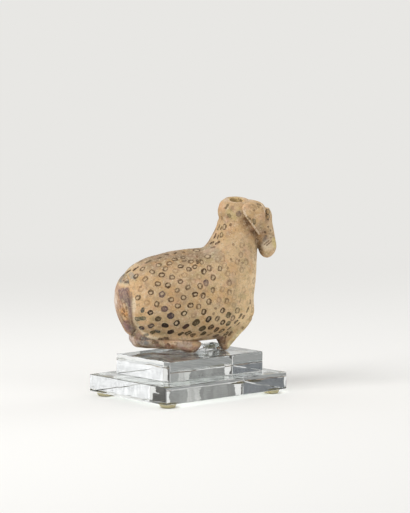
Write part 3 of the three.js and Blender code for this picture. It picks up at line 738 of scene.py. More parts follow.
# Soft washes on the flask: some are slip and clay tones, some are painted light and shade, as marked below
flask_washes_and_painted_light = [
    # Painted light: the shoulder and breast are painted paler where the light falls on them, with a painted highlight
    # along the front edge of the breast
    ([(22, 24), (30, 40)], 9, 12, linear(216, 187, 145), 0.85),
    ([(29, 20), (33, 36)], 3, 6, linear(232, 202, 156), 0.8),
    ([(34.5, 24), (35.6, 48)], 0.8, 2.4, linear(228, 204, 166), 0.7),
    ([(26, 56), (33, 66)], 6, 8, linear(208, 177, 136), 0.8),
    ([(-27, 30), (-24, 20)], 4, 5, linear(222, 184, 140), 0.7),
    # Painted highlight: a pale line along the outline of the rump and back
    ([(-31, 41.6), (-26, 45.6), (-20, 48)], 0.6, 1.6, linear(212, 192, 164), 0.8),
    ([(-28.4, 39.4), (-27.2, 38.8)], 1.0, 0.8, linear(150, 148, 138), 0.8),
    # Painted shade: a darker grey-brown band along the top of the back, which faces away from the light
    ([(-19, 48), (-5, 50.6), (9, 51.5)], 2.2, 6, linear(134, 114, 90), 0.85),
    ([(11, 51), (15.5, 49.4)], 1.6, 2.6, linear(168, 154, 130), 0.75),
    # Grey band down the groove beside the tail: partly slip kept in the groove, partly painted groove shade
    ([(-29.4, 31), (-29.1, 19), (-28.6, 13.5)], 0.6, 0.6, linear(140, 122, 116), 0.85),
    # Painted highlight: a pale line along the lower edge of the flank over the hind leg
    ([(-27.9, 28), (-27.4, 17), (-25.1, 13.2), (-22.9, 10.6), (-20, 8.7), (-16, 7.4)], 0.3, 0.8, linear(226, 210, 180), 0.85),
    ([(-29, 15), (-27.5, 11.8), (-25.7, 9.4), (-23.2, 7.6), (-20.6, 6.6)], 1.0, 0.7, linear(104, 92, 88), 0.95),
    ([(-22.6, 6.4), (-18.6, 5.8)], 0.9, 0.8, linear(132, 130, 128), 0.95),
    # Painted light: pale bands along the seam between flank and hind leg, lightening the shade that falls in it
    ([(-14, 6.9), (-8, 6.9)], 0.5, 0.8, linear(212, 192, 164), 0.7),
    ([(-8, 6.4), (6, 6.2)], 0.8, 0.8, linear(226, 202, 170), 0.85),
    ([(4, 6), (12, 7)], 0.8, 1.4, linear(196, 164, 130), 0.8),
    ([(14, 7.5), (17.5, 6.5)], 0.9, 1.2, linear(128, 100, 88), 0.8),
    ([(17.6, 6), (18.8, 1.5)], 1.3, 1.0, linear(124, 92, 78), 0.85),
    ([(20, 2.2), (22.2, 5.2)], 0.5, 0.9, linear(176, 134, 92), 0.6),
    # Painted light: the lower breast and the front of the foreleg are painted paler, lightening the shade the lamps
    # leave on them
    ([(26, 11.5), (31, 18)], 1.8, 2.6, linear(234, 206, 160), 0.8),
    ([(22.5, 3), (27.5, 9)], 1.1, 1.4, linear(248, 228, 178), 0.95),
    # Painted shadow: brown bands on the neck along the horn's free lower edge, darkest right under it
    ([(29.6, 66), (31.6, 63.4), (34, 60.4), (36, 58.6), (38, 58.2)], 0.5, 5.0, linear(146, 112, 76), 0.7),
    ([(30.4, 66.6), (32.4, 63.8), (34.6, 60.8), (36.2, 59)], 0.6, 1.8, linear(104, 74, 48), 0.7),
    ([(18.6, 73.6), (19.6, 72.4)], 0.7, 1.6, linear(222, 178, 142), 0.6),
    ([(20, 67.4), (20.2, 66.6)], 0.8, 1.2, linear(214, 180, 164), 0.6),
    ([(21.4, 70.8), (24, 68)], 0.9, 1.6, linear(196, 178, 122), 0.55),
    ([(25.4, 72.6), (26.6, 72.2)], 0.5, 1.0, linear(206, 184, 130), 0.5),
    ([(39.6, 60.2), (40.8, 57.2)], 0.8, 1.8, linear(122, 116, 106), 0.65),
    ([(40.4, 56), (40.8, 53)], 0.9, 1.6, linear(186, 176, 160), 0.7),
    ([(43.4, 60.4), (44.2, 56)], 0.7, 1.8, linear(212, 192, 162), 0.65),
    ([(45.4, 56.4), (45.6, 52.6)], 0.6, 0.9, linear(218, 202, 138), 0.75),
    ([(42, 52), (43, 49)], 1.5, 3, linear(232, 212, 182), 0.7),
    # Painted shade: dark brown down the back edge of the muzzle, where its underside is in shadow
    ([(36.6, 58.4), (37.2, 55), (37.6, 51.6), (39, 48.8)], 0.5, 2.4, linear(104, 80, 56), 0.75),
]
ground = washed(flask_skin, linear(194, 165, 127), flask_washes_and_painted_light)

# Inside the bore the wall is tan; deeper down and at both ends of the bore it is painted dark as shade, and the rim
# round the dish is paler
skin_mm = np.array([to_flask @ vert.co for vert in flask_skin.vertices])
from_axis = np.hypot(skin_mm[:, 0] - neck_x, skin_mm[:, 1])
dish_floor = neck_top + crown_height - dish_depth + skin_mm[:, 1] * math.tan(mouth_tilt)
in_bore = from_axis < bore / 2 + 0.5
# Painted shade: the deeper part of the bore is darkened
painted_bore_shade = soft_step(dish_floor - skin_mm[:, 2], 1.6, 4) * in_bore
# Painted shade: the two ends of the bore, fore and aft, are darkened
corner = soft_step(np.abs(skin_mm[:, 0] - neck_x), 1.7, 3.1) * soft_step(dish_floor - skin_mm[:, 2], -0.3, 0.4) * in_bore
paler_dish_rim = soft_step(from_axis, bore / 2 + 0.2, bore / 2 + 1.2) * soft_step(skin_mm[:, 2], 75.2, 76.2)
for amount, ink in (
    (0.7 * in_bore, linear(218, 190, 130)), (0.85 * painted_bore_shade, linear(58, 42, 28)), (0.85 * corner, linear(84, 62, 36)), (0.55 * paler_dish_rim, linear(206, 188, 170)),
):
    ground = ground * (1 - amount[:, None]) + np.array(ink[:3]) * amount[:, None]
note(flask_skin, "ground", ground)


def kept_number(tree, name):
    node = tree.nodes.new("ShaderNodeAttribute")
    node.attribute_name = name
    return node.outputs["Fac"]


def kept_vector(tree, name):
    node = tree.nodes.new("ShaderNodeAttribute")
    node.attribute_name = name
    return node.outputs["Vector"]


def scaled(tree, vector, amount):
    node = tree.nodes.new("ShaderNodeVectorMath")
    node.operation = "SCALE"
    tree.links.new(vector, node.inputs[0])
    feed(tree, node.inputs["Scale"], amount)
    return node.outputs[0]


def fired_clay(tree, ground):
    """Clay as fired: clouds of ochre, pink, olive and grey over the ground, chalky scuffs and dark grit."""
    clouds = [
        (7, 0.45, 0.66, linear(194, 148, 92), 0.5), (5, 0.5, 0.68, linear(206, 162, 140), 0.34),
        (6, 0.52, 0.7, linear(168, 152, 106), 0.5), (3.5, 0.5, 0.68, linear(148, 128, 106), 0.42),
        (2.0, 0.52, 0.7, CREAM, 0.5), (1.1, 0.5, 0.72, linear(146, 118, 88), 0.45),
        (0.6, 0.56, 0.7, linear(112, 86, 62), 0.6), (0.75, 0.54, 0.7, linear(232, 214, 184), 0.42),
    ]
    for seed, (grain, low, high, tint, share) in enumerate(clouds, start=1):
        patch = sum_of(tree, "MULTIPLY", mottle(tree, grain * MM, low, high, 4, seed=seed), share)
        ground = tinted(tree, ground, tint, patch)
    return ground


def brushed(tree, ground):
    """Brush strokes, each measured from its own place, thicker on one side, ragged and partly worn away."""
    spot = tree.nodes.new("ShaderNodeTexCoord").outputs["Object"]
    waver = tree.nodes.new("ShaderNodeTexNoise")
    waver.inputs["Scale"].default_value = 1 / (1.3 * MM)
    waver.inputs["Detail"].default_value = 2
    tree.links.new(spot, waver.inputs["Vector"])
    wandering = vector_sum(tree, "SUBTRACT", waver.outputs["Color"], (0.5, 0.5, 0.5))
    place, run = kept_vector(tree, "mark_place"), kept_vector(tree, "mark_run")
    away = vector_sum(tree, "SUBTRACT", vector_sum(tree, "ADD", spot, scaled(tree, wandering, 0.9 * MM)), place)
    share = sum_of(
        tree, "DIVIDE", vector_sum(tree, "DOT_PRODUCT", away, run), vector_sum(tree, "DOT_PRODUCT", run, run))
    share = sum_of(tree, "MINIMUM", sum_of(tree, "MAXIMUM", share, -1.0), 1.0)
    from_run = vector_sum(tree, "SUBTRACT", away, scaled(tree, run, share))
    chance = tree.nodes.new("ShaderNodeTexWhiteNoise")
    tree.links.new(place, chance.inputs["Vector"])
    off_centre = vector_sum(tree, "SUBTRACT", chance.outputs["Color"], (0.5, 0.5, 0.5))
    from_heart = vector_sum(tree, "ADD", from_run, scaled(tree, off_centre, 0.6 * MM))
    look = tree.nodes.new("ShaderNodeSeparateXYZ")
    tree.links.new(kept_vector(tree, "mark_look"), look.inputs[0])
    radius, fill, strength = look.outputs
    outline = sum_of(tree, "ADD", radius, 0.3 * MM)
    inline = sum_of(tree, "SUBTRACT", radius, 0.5 * MM)
    blot = eased(tree, vector_sum(tree, "LENGTH", from_run), outline, sum_of(tree, "ADD", outline, 0.22 * MM), 1.0, 0.0)
    heart = eased(tree, vector_sum(tree, "LENGTH", from_heart), inline, sum_of(tree, "ADD", inline, 0.3 * MM), 1.0, 0.0)
    open_part = sum_of(tree, "MULTIPLY", heart, sum_of(tree, "SUBTRACT", 1.0, fill))
    inked = sum_of(tree, "MULTIPLY", blot, sum_of(tree, "SUBTRACT", 1.0, open_part))
    worn = mottle(tree, 0.8 * MM, 0.34, 0.56, 4, seed=11)
    patchy = mottle(tree, 3.0 * MM, 0.32, 0.58, 3, seed=12)
    hold = sum_of(tree, "MULTIPLY", sum_of(tree, "ADD", 0.55, sum_of(tree, "MULTIPLY", worn, 0.45)),
                  sum_of(tree, "ADD", 0.7, sum_of(tree, "MULTIPLY", patchy, 0.3)))
    amount = sum_of(tree, "MULTIPLY", sum_of(tree, "MULTIPLY", inked, strength), hold)
    pale_heart = sum_of(tree, "MULTIPLY", sum_of(tree, "MULTIPLY", heart, strength), 0.48)
    ink = kept_vector(tree, "mark_ink")
    ink = tinted(tree, scaled(tree, ink, 0.82), scaled(tree, ink, 1.08), heart)
    return tinted(tree, tinted(tree, ground, CREAM, pale_heart), ink, amount)


def clay_material(name):
    """Painted, unglazed clay: its ground and strokes are read from the piece itself."""
    material, tree, surface = new_material(name)
    ground = fired_clay(tree, kept_vector(tree, "ground"))
    feed(tree, surface.inputs["Base Color"], brushed(tree, ground))
    surface.inputs["Roughness"].default_value = 0.82
    surface.inputs["Specular IOR Level"].default_value = 0.3
    roughened(tree, surface, 0.9 * MM, 0.11 * MM, detail=5.0)
    return material


spotted_clay = clay_material("spotted_clay")
add_piece("clay_flask", flask_skin, spotted_clay, "flask", "spotted_clay",
          "body_right_half", "body_left_half", "mouth_crown", "face", "right_foreleg", "left_foreleg")

# Fat tail: a broad flap of clay pressed onto the rump, with a groove left all round it.
# It is brushed over with purple-brown slip, which has worn through to the buff in places.
tail_length = 33.0
tail_width = 24.4
tail_top = 7.8 + tail_length
tail_top_x = rump_x + 4.4
tail_back_x = rump_x - 2.1
tail_root_x = rump_x + 8.2


def on_tail(out, down):
    return tail_top_x + out * (tail_back_x - tail_top_x), tail_top - down * tail_length


def in_tail(down):
    return tail_root_x, tail_top - down * tail_length


tail_sections = [
    (on_tail(0, 0), on_tail(0, 0), 0),
    (on_tail(0.28, 0.05), in_tail(0.06), 0.5 * tail_width / 2),
    (on_tail(0.71, 0.17), in_tail(0.19), 0.82 * tail_width / 2),
    (on_tail(0.97, 0.36), in_tail(0.37), 0.98 * tail_width / 2),
    (on_tail(0.95, 0.54), in_tail(0.54), tail_width / 2),
    (on_tail(0.74, 0.7), in_tail(0.69), 0.95 * tail_width / 2),
    (on_tail(0.4, 0.85), in_tail(0.83), 0.8 * tail_width / 2),
    (on_tail(0.1, 0.95), in_tail(0.93), 0.52 * tail_width / 2),
    (on_tail(-0.2, 1), on_tail(-0.2, 1), 0),
]
tail_skin = luted([lofted("tail", skin_rings(tail_sections, 60, 72, squareness=2.3))], clay_grain, 3)
hand_made(tail_skin, 0.3, 5.0, 0.08, seed=2)
MAUVE = linear(124, 102, 102)
tail_washes_and_painted_light = [
    ([(-34.8, 33), (-34.8, 24), (-33.8, 17), (-31.8, 12)], 0.7, 1.0, linear(182, 148, 130), 0.75),
    # Painted highlight: a pale line along the tail's outline
    ([(-36.4, 34), (-36.4, 20), (-33, 11)], 0.5, 0.7, linear(232, 214, 200), 0.95),
    ([(-33, 37.2), (-28.6, 38)], 1.7, 1.1, linear(118, 120, 116), 0.95),
    ([(-33.6, 34.7), (-29.5, 34.9)], 0.4, 0.9, linear(222, 200, 166), 0.65),
    ([(-31.8, 30.6), (-31.5, 28.4)], 2.7, 0.4, MAUVE, 0.95),
    ([(-31, 26.8), (-29.6, 24.6)], 1.3, 0.8, linear(122, 112, 106), 0.9),
    ([(-33, 21.8), (-31, 17.6)], 1.3, 1.0, linear(210, 154, 98), 0.85),
    # Grey band down the groove beside the tail: partly slip kept in the groove, partly painted groove shade
    ([(-29.2, 31), (-29.2, 19), (-29, 13.5)], 0.9, 0.7, linear(152, 132, 126), 0.9),
    ([(-34.2, 17.8), (-32, 13)], 0.8, 1.2, linear(172, 138, 116), 0.7),
    ([(-31, 15.4), (-29, 11.6)], 1.4, 0.8, linear(140, 104, 110), 0.85),
    # The groove band's lower run: partly slip, partly painted groove shade
    ([(-28.8, 13.4), (-27.4, 11), (-27, 9.6)], 0.9, 0.8, linear(150, 132, 126), 0.85),
    ([(-28.3, 36), (-28.4, 32)], 0.25, 0.5, linear(158, 112, 84), 0.7),
]
note(tail_skin, "ground", washed(tail_skin, linear(206, 168, 128), tail_washes_and_painted_light))
# (start, end, radius, fill, strength, ink)
tail_strokes = [
    ((-34.6, 26.4), (-34.2, 24), 0.2, 1, 0.6, SEPIA), ((-33.2, 24.2), (-32.8, 22.6), 0.15, 1, 0.5, SEPIA),
    ((-34, 19.2), (-33.2, 18), 0.2, 1, 0.6, SEPIA), ((-31, 20), (-30.8, 17.6), 0.15, 1, 0.5, SEPIA),
    ((-32.4, 16.4), (-31.4, 15.8), 0.2, 1, 0.6, UMBER), ((-29.6, 39.2), (-29.2, 38.6), 0.4, 0.8, 0.9, SLATE),
    ((-32.2, 37.8), (-31.2, 39), 0.05, 1, 0.9, SLATE), ((-30.9, 38), (-30.5, 38.6), 0.2, 1, 0.7, CREAM),
    ((-32.4, 36.6), (-30.4, 36.4), 0.1, 1, 0.7, UMBER), ((-34, 21), (-32.4, 19), 0.05, 1, 0.6, UMBER),
    ((-32.8, 24.8), (-31.8, 22), 0.02, 1, 0.8, CREAM), ((-31.6, 24), (-31.2, 21.4), 0.02, 1, 0.8, UMBER),
    ((-31.6, 35.9), (-29.8, 35.7), 0.05, 1, 0.8, UMBER), ((-32.8, 37.4), (-32, 37.9), 0, 1, 0.8, CREAM),
    ((-29.3, 37.6), (-29, 36.9), 0.2, 1, 1.0, SLATE), ((-31.4, 36.9), (-30.6, 37.2), 0, 1, 0.9, CREAM),
    ((-33.6, 38), (-32.6, 39.2), 0.1, 1, 0.9, UMBER), ((-30.2, 36.2), (-29.4, 37), 0.1, 1, 0.7, SLATE),
    ((-31.6, 25.6), (-31, 24.4), 0, 1, 0.9, CREAM), ((-32.6, 22.6), (-32.2, 21.4), 0, 1, 0.8, OXIDE),
    ((-31.2, 22.4), (-30.8, 21), 0, 1, 0.7, CREAM), ((-33.2, 20.6), (-32.4, 20), 0, 1, 0.7, OXIDE),
    ((-31.8, 19.4), (-31.4, 18.4), 0, 1, 0.7, OXIDE), ((-32.6, 18.8), (-32, 17.8), 0, 1, 0.7, CREAM),
    ((-32.4, 31), (-31.9, 28.6), 1.5, 1, 0.75, MAUVE), ((-31.2, 27.6), (-30.6, 25), 0.8, 1, 0.7, MAUVE),
    ((-35, 29.8), (-34.7, 28), 0, 1, 0.6, SEPIA), ((-35.2, 26.2), (-34.9, 24.6), 0, 1, 0.5, SEPIA),
    ((-35.2, 22.4), (-34.6, 21.2), 0, 1, 0.6, SEPIA), ((-34.6, 17), (-34, 15.4), 0, 1, 0.6, SEPIA),
    ((-33.6, 15.4), (-32.8, 14.2), 0, 1, 1.0, SEPIA), ((-33.9, 26.8), (-33.3, 25.2), 0.04, 1, 0.8, SEPIA),
    ((-33.2, 22.6), (-32.4, 21.2), 0.02, 1, 0.8, SEPIA), ((-32.8, 20.4), (-32, 19), 0.02, 1, 0.8, UMBER),
    ((-33.6, 18.4), (-32.8, 17), 0.02, 1, 1.0, SEPIA), ((-30.6, 16), (-29.8, 13), 0.5, 1, 0.6, PURPLE),
]
tail_tree = tree_of(tail_skin)
painted(tail_skin, [one for side in (-1, 1) for given in tail_strokes for one in drawn(tail_tree, side, *given)])
worn_purple = clay_material("worn_purple_slip")
add_piece("fat_tail", tail_skin, worn_purple, "flask", "worn_purple_slip", "tail")

# Hind legs: rolls of clay folded along the base, heel at the back and hoof at the front.
# They are luted under the flanks, and their flat soles carry the flask.
sole_sink = -0.07


def on_hind(along, up):
    return heel_x + along * hind_length, up * hind_height


hind_sections = [
    (on_hind(0, 0.58), on_hind(0, 0.58), 0),
    (on_hind(0.02, 0.86), on_hind(0.03, 0.36), 0.45 * hind_width / 2),
    (on_hind(0.09, 1), on_hind(0.1, 0.25), 0.74 * hind_width / 2),
    (on_hind(0.25, 0.93), on_hind(0.26, 0.19), 0.92 * hind_width / 2),
    (on_hind(0.46, 0.81), on_hind(0.46, 0.18), hind_width / 2),
    (on_hind(0.68, 0.71), on_hind(0.68, 0.09), hind_width / 2),
    (on_hind(0.88, 0.62), on_hind(0.86, sole_sink), 0.94 * hind_width / 2),
    (on_hind(0.97, 0.55), on_hind(0.95, 0.17), 0.66 * hind_width / 2),
    (on_hind(1, 0.42), on_hind(1, 0.42), 0),
]
leg_washes_and_painted_light = [
    ([(-27.6, 7), (-26.2, 3.6)], 1.3, 0.8, linear(162, 142, 136), 0.9),
    ([(-24.5, 3.6), (-18.5, 2.2)], 1.1, 1.0, linear(116, 104, 100), 0.9),
    ([(-28, 10), (-26.4, 9), (-24.8, 7), (-22.6, 5.8)], 1.1, 0.6, linear(96, 84, 82), 0.95),
    ([(-22, 5.2), (-18.4, 4.4)], 1.2, 0.6, linear(136, 134, 132), 0.95),
    ([(-27.9, 8), (-26.8, 4.4), (-25.6, 2.6)], 0.25, 0.5, linear(226, 208, 200), 0.9),
    ([(-25.4, 5.8), (-23, 4.2)], 0.3, 0.5, linear(204, 188, 180), 0.85),
    ([(-17.4, 4.2), (-15.6, 2.6)], 0.25, 0.5, linear(196, 176, 160), 0.8),
    ([(-17.6, 5.6), (-16, 5.2)], 0.7, 0.5, linear(80, 70, 56), 0.9),
    ([(-16, 3.8), (-12, 4.2)], 0.9, 0.6, linear(134, 100, 84), 0.85),
    ([(-11.4, 2.4), (-7.4, 3.2)], 0.9, 0.7, linear(150, 100, 74), 0.85),
    ([(-9.8, 5.8), (-6.6, 5.4)], 0.7, 0.6, linear(218, 196, 168), 0.9),
    ([(-4.8, 4.8), (0.6, 4.8)], 1.3, 0.5, linear(186, 168, 154), 0.9),
    ([(-5, 1.9), (4, 2.2)], 0.7, 0.6, linear(172, 132, 116), 0.8),
    ([(-22, 0.8), (-11, 0.6), (5.4, 0.8)], 0.5, 0.5, linear(84, 50, 40), 0.9),
    ([(3, 4.4), (5.8, 4)], 0.9, 0.8, linear(206, 172, 136), 0.8),
    # Painted light: a pale band along the seam under the flank, lightening the shade that falls in it
    ([(-8, 7), (6, 6.4)], 0.9, 0.7, linear(240, 216, 188), 0.9),
    ([(-26, 8.4), (-25.2, 8.2), (-24.2, 7.4)], 0.7, 0.6, linear(66, 60, 52), 0.95),
]
# (start, end, radius, fill, strength, ink)
leg_strokes = [
    ((-25.4, 5.6), (-23.6, 5.2), 0.3, 1, 0.5, SLATE), ((-14, 2.6), (-11.6, 3), 0.2, 1, 0.8, OXIDE),
    ((-10.6, 4.8), (-9.8, 4), 0.2, 1, 0.8, OXIDE), ((-23, 2.2), (-20.8, 1.8), 0.2, 1, 0.6, UMBER),
    ((-2.6, 6.2), (-2.6, 4.6), 0.02, 1, 0.5, SEPIA), ((-0.6, 6), (-0.6, 4.6), 0.02, 1, 0.5, SEPIA),
    ((-22, 3), (-19, 2.8), 0.3, 1, 0.5, UMBER), ((-9, 2.4), (-8, 3), 0.3, 1, 0.6, SEPIA),
    ((-6.6, 5.4), (-6, 5), 0.25, 1, 0.6, SEPIA), ((5.6, 2.2), (6.4, 3), 0.35, 1, 0.6, UMBER),
]
for side, label in ((-1, "right"), (1, "left")):
    leg = luted([lofted("leg", skin_rings(hind_sections, 60, 60, place=splayed(side)))], clay_grain, 4)
    hand_made(leg, 0.25, 4.0, 0.08, seed=3 + side)
    for vert in leg.vertices:
        vert.co.z = max(vert.co.z, flask_place.z)
    note(leg, "ground", washed(leg, linear(160, 131, 111), leg_washes_and_painted_light))
    leg_tree = tree_of(leg)
    painted(leg, [one for given in leg_strokes for one in drawn(leg_tree, side, *given)])
    add_piece(f"{label}_folded_hind_leg", leg, worn_purple, "flask", "worn_purple_slip", f"{label}_hind_leg")

# Horns: thin leaves of clay curled flat against the sides of the head, one lower edge standing free.
# They are pinched out, pressed on behind the eyes and left plain, with a few faint brush lines.
horn_length = 17.0
horn_width = 12.0
horn_thickness = 2.2
horn_top = neck_top + brow_rise - 0.7
horn_back_x = neck_x + 1.5
horn_edge = [
    (0.02, 0.13), (0.16, 0.03), (0.46, 0), (0.78, 0.045), (0.965, 0.15), (1, 0.33), (0.985, 0.6), (0.94, 0.8),
    (0.86, 0.94), (0.77, 1), (0.68, 0.96), (0.55, 0.84), (0.35, 0.64), (0.17, 0.48), (0.05, 0.35), (0, 0.24),
]
horn_middle = Vector((horn_back_x + 0.6 * horn_width, 0, horn_top - 0.42 * horn_length))
horn_reach = Vector((1.25 * horn_width, crown_radius + horn_thickness, 0.95 * horn_length))
dome_middle = Vector((horn_back_x + 0.5 * horn_width, 0, horn_top - 0.44 * horn_length))


def horn_outline(count):
    points = [Vector((horn_back_x + a * horn_width, 0, horn_top - d * horn_length)) for a, d in horn_edge]
    closed = [points[-1], *points, points[0], points[1]]
    span = len(closed) - 1
    return [curve_through(closed, (1 + len(points) * step / count) / span) for step in range(count)]


def dome_at(x, z, inset):
    """How far out the horn's face lies at this place of its side view."""
    along = (x - dome_middle.x) / (horn_reach.x - inset)
    up = (z - dome_middle.z) / (horn_reach.z - inset)
    return (horn_reach.y - inset) * math.sqrt(max(1 - along**2 - up**2, 0))


def soft_edge(share, start=0.88):
    """Half-round edge of a leaf: full thickness inside, closing at the rim."""
    return math.sqrt(1 - max(0.0, (share - start) / (1 - start)) ** 2)


def horn_mesh(side):
    """A leaf between the outline's rings, inner face and outer face, with a raised lower back edge."""
    rings = []
    steps = 30
    for step in [*range(1, steps + 1), *range(steps, 0, -1)]:
        outer = len(rings) < steps
        share = step / steps
        ring = []
        for edge in horn_outline(110):
            spot = horn_middle.lerp(edge, 0.985 * share + (0.015 if outer else 0.003))
            face = dome_at(spot.x, spot.z, 0.0)
            middle = (face + dome_at(spot.x, spot.z, horn_thickness + 1.2)) / 2
            out = middle + (face - middle) * soft_edge(share) * (1 if outer else -1)
            if outer:
                lower_back = ((horn_middle - edge) @ Vector((0.62, 0, 0.78))) / 5
                out += 0.8 * min(1, max(0, lower_back)) * math.exp(-((share - 0.94) / 0.04) ** 2)
            ring.append(to_world @ Vector((spot.x, side * out, spot.z)))
        rings.append(ring)
    return lofted("horn", rings)


# Painted highlights: pale strokes along the horn's free lower edge and the brow edge in front of it, where the light
# catches
PAINTED_HIGHLIGHT = linear(238, 214, 184)
horn_washes_and_painted_light = [
    # Painted highlight: a pale band down the horn's upper back border
    ([(28.6, 73.5), (28.3, 70.5)], 0.6, 1.0, linear(224, 192, 156), 0.8),
    ([(36.4, 62.8), (37.4, 61)], 1.4, 1.8, linear(164, 138, 112), 0.8),
    ([(33, 68.6), (34, 65)], 1.2, 1.6, linear(188, 156, 112), 0.6),
    ([(39, 74), (39.8, 66)], 0.7, 1.4, linear(190, 156, 116), 0.6),
    # Painted highlight: a short pale mark at the top of the brow edge
    ([(38, 75.4), (39.2, 74.4)], 0.3, 0.8, linear(232, 214, 186), 0.6),
]
# (start, end, radius, fill, strength, ink)
horn_strokes = [
    ((31.3, 73.6), (32.8, 74.7), 0.12, 1, 0.5, SEPIA), ((32.8, 74.7), (34.3, 73.9), 0.12, 1, 0.5, SEPIA),
    ((32.2, 73), (34.6, 73.1), 0.1, 1, 0.4, SEPIA), ((33.7, 72), (33.8, 71.9), 0.3, 1, 0.75, SEPIA),
    ((36, 74.8), (36.2, 74.6), 0.32, 1, 0.7, UMBER), ((37, 74.7), (37.2, 74.2), 0.2, 1, 0.6, UMBER),
    ((36.1, 73.7), (36.3, 73.1), 0.15, 1, 0.5, UMBER), ((30.4, 68.6), (31.2, 67.6), 0.12, 1, 0.7, UMBER),
    ((31, 68.2), (31.8, 67.4), 0.12, 1, 0.7, UMBER), ((30.2, 67.8), (31.3, 66.4), 0.12, 1, 0.7, UMBER),
    ((33.5, 66.7), (33.8, 65.3), 0.6, 1, 1.0, OLIVE), ((31.2, 68), (33, 65.7), 0.02, 1, 0.5, UMBER),
    ((31.5, 71.2), (32, 70.8), 0.2, 1, 0.35, SEPIA), ((33.4, 70.2), (33.9, 69.9), 0.25, 1, 0.35, SEPIA),
    ((28.7, 71.3), (29.2, 69.9), 0.14, 1, 1.6, PAINTED_HIGHLIGHT), ((29.2, 69.9), (30.6, 67.8), 0.16, 1, 1.8, PAINTED_HIGHLIGHT),
    ((30.6, 67.8), (32.8, 65.1), 0.16, 1, 1.8, PAINTED_HIGHLIGHT), ((32.8, 65.1), (35.1, 61.8), 0.1, 1, 1.7, PAINTED_HIGHLIGHT),
    ((35.1, 61.8), (36.4, 60.1), 0.06, 1, 1.5, PAINTED_HIGHLIGHT), ((36.4, 60.1), (37.3, 59.1), 0.02, 1, 1.4, PAINTED_HIGHLIGHT),
    ((38.1, 74.4), (39.1, 73), 0.08, 1, 1.4, PAINTED_HIGHLIGHT), ((39.2, 72.6), (39.6, 70.6), 0, 1, 1.1, PAINTED_HIGHLIGHT),
]
plain_clay = clay_material("plain_clay")
for side, label in ((-1, "right"), (1, "left")):
    horn = horn_mesh(side)
    note(horn, "ground", washed(horn, linear(204, 172, 130), horn_washes_and_painted_light))
    horn_tree = tree_of(horn)
    painted(horn, [one for given in horn_strokes for one in drawn(horn_tree, side, *given)])
    add_piece(f"{label}_curled_horn", horn, plain_clay, "flask", "plain_clay", f"{label}_horn")

# Eyes: tall pellets of clay pressed onto the brow, with a groove cut round two cells.
# The grooves are filled with dark slip.
eye_length = 6.8
eye_width = 3.0
eye_spread = 12.4
eye_x, eye_z = on_face(0.725, 0.25)
dark_slip, tree, surface = new_material("dark_slip")
ground = fired_clay(tree, linear(206, 178, 142))
ground = tinted(tree, ground, linear(184, 154, 112), kept_number(tree, "cell"))
feed(tree, surface.inputs["Base Color"], tinted(tree, ground, linear(66, 50, 36), kept_number(tree, "slip")))
surface.inputs["Roughness"].default_value = 0.7
roughened(tree, surface, 0.5 * MM, 0.05 * MM)
# (height over the middle, half-width, half-height) of each cell
eye_cells = [(1.35, 0.68, 0.95), (-1.3, 0.68, 0.85)]
cell_back = 0.3
for side, label in ((-1, "right"), (1, "left")):
    ball = bmesh.new()
    bmesh.ops.create_uvsphere(ball, u_segments=96, v_segments=72, radius=0.5)
    slip_levels = []
    cell_levels = []
    for vert in ball.verts:
        slip = 0.0
        cell = 0.0
        place = Vector((vert.co.x * eye_width, vert.co.y * eye_width, vert.co.z * eye_length))
        if place.y * side > 0:
            for height, half_width, half_height in eye_cells:
                reach = math.hypot((place.x + cell_back) / half_width, (place.z - height) / half_height)
                slip = max(slip, math.exp(-((reach - 1.38) / 0.17) ** 2))
                cell = max(cell, 1 - float(soft_step(reach, 0.9, 1.2)))
            foot = math.hypot((place.x + cell_back) / 0.8, (place.z + 2.9) / 0.6)
            slip = max(slip, 0.7 - 0.7 * float(soft_step(foot, 0.8, 1.2)))
        slip_levels.append(min(1.0, slip))
        cell_levels.append(cell)
        place *= 1 - 0.05 * slip
        vert.co = to_world @ (place + Vector((eye_x, side * eye_spread / 2, eye_z)))
    for face in ball.faces:
        face.smooth = True
    mesh = bpy.data.meshes.new("eye")
    ball.to_mesh(mesh)
    ball.free()
    note(mesh, "slip", np.array(slip_levels))
    note(mesh, "cell", np.array(cell_levels))
    add_piece(f"{label}_pellet_eye", mesh, dark_slip, "flask", "dark_slip", f"{label}_eye")

# Studio: a pale floor, soft lamps round the object and a camera where the photograph was taken from.
# None of it belongs to the object.
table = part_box("foot_front_right")[0].z
floor_mesh = bpy.data.meshes.new("floor")
disc = bmesh.new()
bmesh.ops.create_circle(disc, cap_ends=True, radius=6.0, segments=96)
bmesh.ops.translate(disc, verts=disc.verts, vec=(0, 0, table - 0.02 * MM))
disc.to_mesh(floor_mesh)
disc.free()
floor = bpy.data.objects.new("floor", floor_mesh)
scene.collection.objects.link(floor)
floor_paint, tree, surface = new_material("floor_paint")
surface.inputs["Base Color"].default_value = linear(238, 237, 234)
surface.inputs["Specular IOR Level"].default_value = 0.0
floor_mesh.materials.append(floor_paint)

BACKDROP = linear(232, 231, 228)


def looked_at(tree):
    """1 for rays that show a thing to the camera, straight, mirrored or through the clear plates."""
    rays = tree.nodes.new("ShaderNodeLightPath")
    through = sum_of(tree, "MAXIMUM", rays.outputs["Is Glossy Ray"], rays.outputs["Is Transmission Ray"])
    seen = sum_of(tree, "MAXIMUM", rays.outputs["Is Camera Ray"], through)
    return sum_of(tree, "MULTIPLY", seen, sum_of(tree, "LESS_THAN", rays.outputs["Diffuse Depth"], 0.5))


